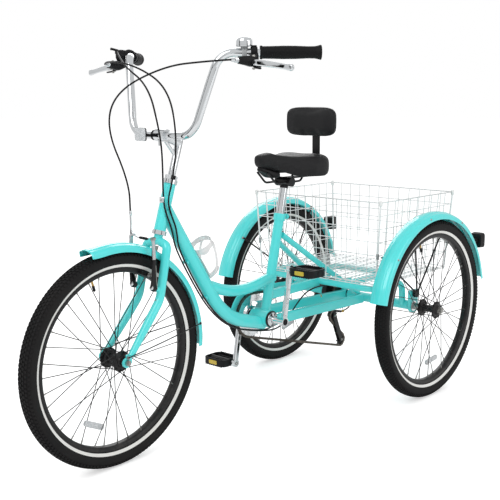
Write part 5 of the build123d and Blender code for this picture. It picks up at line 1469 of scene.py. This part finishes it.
nodeFinishes = {
    paint: ["head_tube", "down_and_brace_tubes", "chain_guard", "seat_tube", "rear_frame", "basket_platform",
            "fork", "rear_fenders", "front_fender", "seat_clamp"],
    chrome: ["bearings", "headset_nut", "stem", "handlebar", "bell", "crank", "chainring", "seat_post"],
    blackMetal: ["fender_stays", "rear_brake", "derailleur", "derailleur_cage", "saddle_frame",
                 "front_rim", "left_rim", "right_rim", "front_hub_and_spokes", "left_hub_and_spokes",
                 "right_hub_and_spokes"],
    wireCoat: ["basket_walls", "basket_floor", "bottle_cage"],
    blackPlastic: ["lever_brackets", "shift_lever", "bell_striker", "left_pedal", "right_pedal",
                   "upper_jockey", "lower_jockey", "rear_reflectors"],
    oiledSteel: ["chain", "freewheel"], steel: ["front_axle", "left_axle", "right_axle", "rear_brake_arm"],
    alloy: ["left_brake_lever", "right_brake_lever", "left_brake_arm", "right_brake_arm"],
    rubber: ["gear_cable", "rear_brake_cable", "front_brake_cable"],
    gripRubber: ["grips"], tyreRubber: ["front_tyre", "left_tyre", "right_tyre"],
    clearLens: ["front_reflector"], vinyl: ["saddle", "backrest_pad"],
}
for finish, names in nodeFinishes.items():
    for name in [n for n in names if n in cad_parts]:
        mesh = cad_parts[name].data
        mesh.materials.clear()
        mesh.materials.append(finish)
print("solids dressed")


# floor, light and camera

studio = {"floorSize": 60.0, "floorLift": 0.45, "skyStrength": 0.72, "keyPower": 60.0, "fillPower": 24.0,
          "backPower": 32.0}
view = {"azimuth": 42.269, "elevation": 9.874, "roll": -0.116, "lens": 65.07,
        "place": (1.89074, -2.08536, 1.02511)}


def makeFloor():
    half = studio["floorSize"] / 2
    mesh = bpy.data.meshes.new("studioFloor")
    mesh.from_pydata([(-half, -half, -0.0002), (half, -half, -0.0002), (half, half, -0.0002),
                      (-half, half, -0.0002)],
                     [], [(0, 1, 2, 3)])
    floor = bpy.data.objects.new("studioFloor", mesh)
    bpy.context.scene.collection.objects.link(floor)
    material, tree, shader = newMaterial("paleFloor", Roughness=0.9, Specular_IOR_Level=0.0)
    shader.inputs["Base Color"].default_value = (0.93, 0.93, 0.93, 1)
    shader.inputs["Emission Color"].default_value = (1, 1, 1, 1)
    path = tree.nodes.new("ShaderNodeLightPath")
    tree.links.new(addMath(tree, "MULTIPLY", path.outputs["Is Camera Ray"], studio["floorLift"]),
                   shader.inputs["Emission Strength"])
    mesh.materials.append(material)


def makeWorld():
    world = bpy.data.worlds.new("studioWorld")
    bpy.context.scene.world = world
    world.use_nodes = True
    tree = world.node_tree
    sky = tree.nodes["Background"]
    path = tree.nodes.new("ShaderNodeLightPath")
    seen = addMath(tree, "MAXIMUM", path.outputs["Is Camera Ray"], path.outputs["Is Transmission Ray"])
    sky.inputs["Color"].default_value = (1, 1, 1, 1)
    tree.links.new(addRange(tree, seen, 0.0, 1.0, studio["skyStrength"], 1.0), sky.inputs["Strength"])


def addAreaLight(name, place, target, size, power):
    data = bpy.data.lights.new(name, "AREA")
    data.size = size
    data.energy = power
    light = bpy.data.objects.new(name, data)
    bpy.context.scene.collection.objects.link(light)
    light.location = place
    light.rotation_euler = (Vector(target) - Vector(place)).to_track_quat("-Z", "Y").to_euler()
    return light


def addDarkCard(name, place, target, wide, tall):  # something dark for the bright metal to mirror
    mesh = bpy.data.meshes.new(name)
    a, b = wide / 2, tall / 2
    mesh.from_pydata([(-a, -b, 0), (a, -b, 0), (a, b, 0), (-a, b, 0)], [], [(0, 1, 2, 3)])
    card = bpy.data.objects.new(name, mesh)
    bpy.context.scene.collection.objects.link(card)
    card.location = place
    card.rotation_euler = (Vector(target) - Vector(place)).to_track_quat("-Z", "Y").to_euler()
    mesh.materials.append(newMaterial(name, Base_Color=(0.01, 0.01, 0.01, 1), Roughness=0.9,
                                      Specular_IOR_Level=0.0)[0])
    card.visible_camera = False
    card.visible_shadow = False
    card.visible_diffuse = False


def makeCamera():
    azimuth, elevation, roll = (math.radians(view[key]) for key in ("azimuth", "elevation", "roll"))
    data = bpy.data.cameras.new("studioCamera")
    data.sensor_width = 36.0
    data.lens = view["lens"]
    camera = bpy.data.objects.new("studioCamera", data)
    bpy.context.scene.collection.objects.link(camera)
    back = Vector((math.sin(azimuth) * math.cos(elevation), -math.cos(azimuth) * math.cos(elevation),
                   math.sin(elevation)))
    turn = (-back).to_track_quat("-Z", "Y").to_matrix() @ Matrix.Rotation(roll, 3, "Z")
    camera.rotation_euler = turn.to_euler()
    camera.location = view["place"]
    bpy.context.scene.camera = camera


makeFloor()
makeWorld()
addAreaLight("keyLight", (0.4, -3.2, 3.6), (0, 0, 0.5), 2.6, studio["keyPower"])
addAreaLight("fillLight", (3.6, 0.6, 1.8), (0, 0, 0.5), 2.2, studio["fillPower"])
addAreaLight("backLight", (-2.6, 2.4, 2.6), (0, 0, 0.6), 2.2, studio["backPower"])
addDarkCard("sideCard", (3.4, -0.5, 0.9), (0, 0, 0.7), 0.7, 2.6)
addDarkCard("frontCard", (-1.6, -3.6, 1.1), (0, 0, 0.7), 0.8, 2.8)
makeCamera()
bpy.context.scene.view_settings.view_transform = "Standard"
print("studio made")
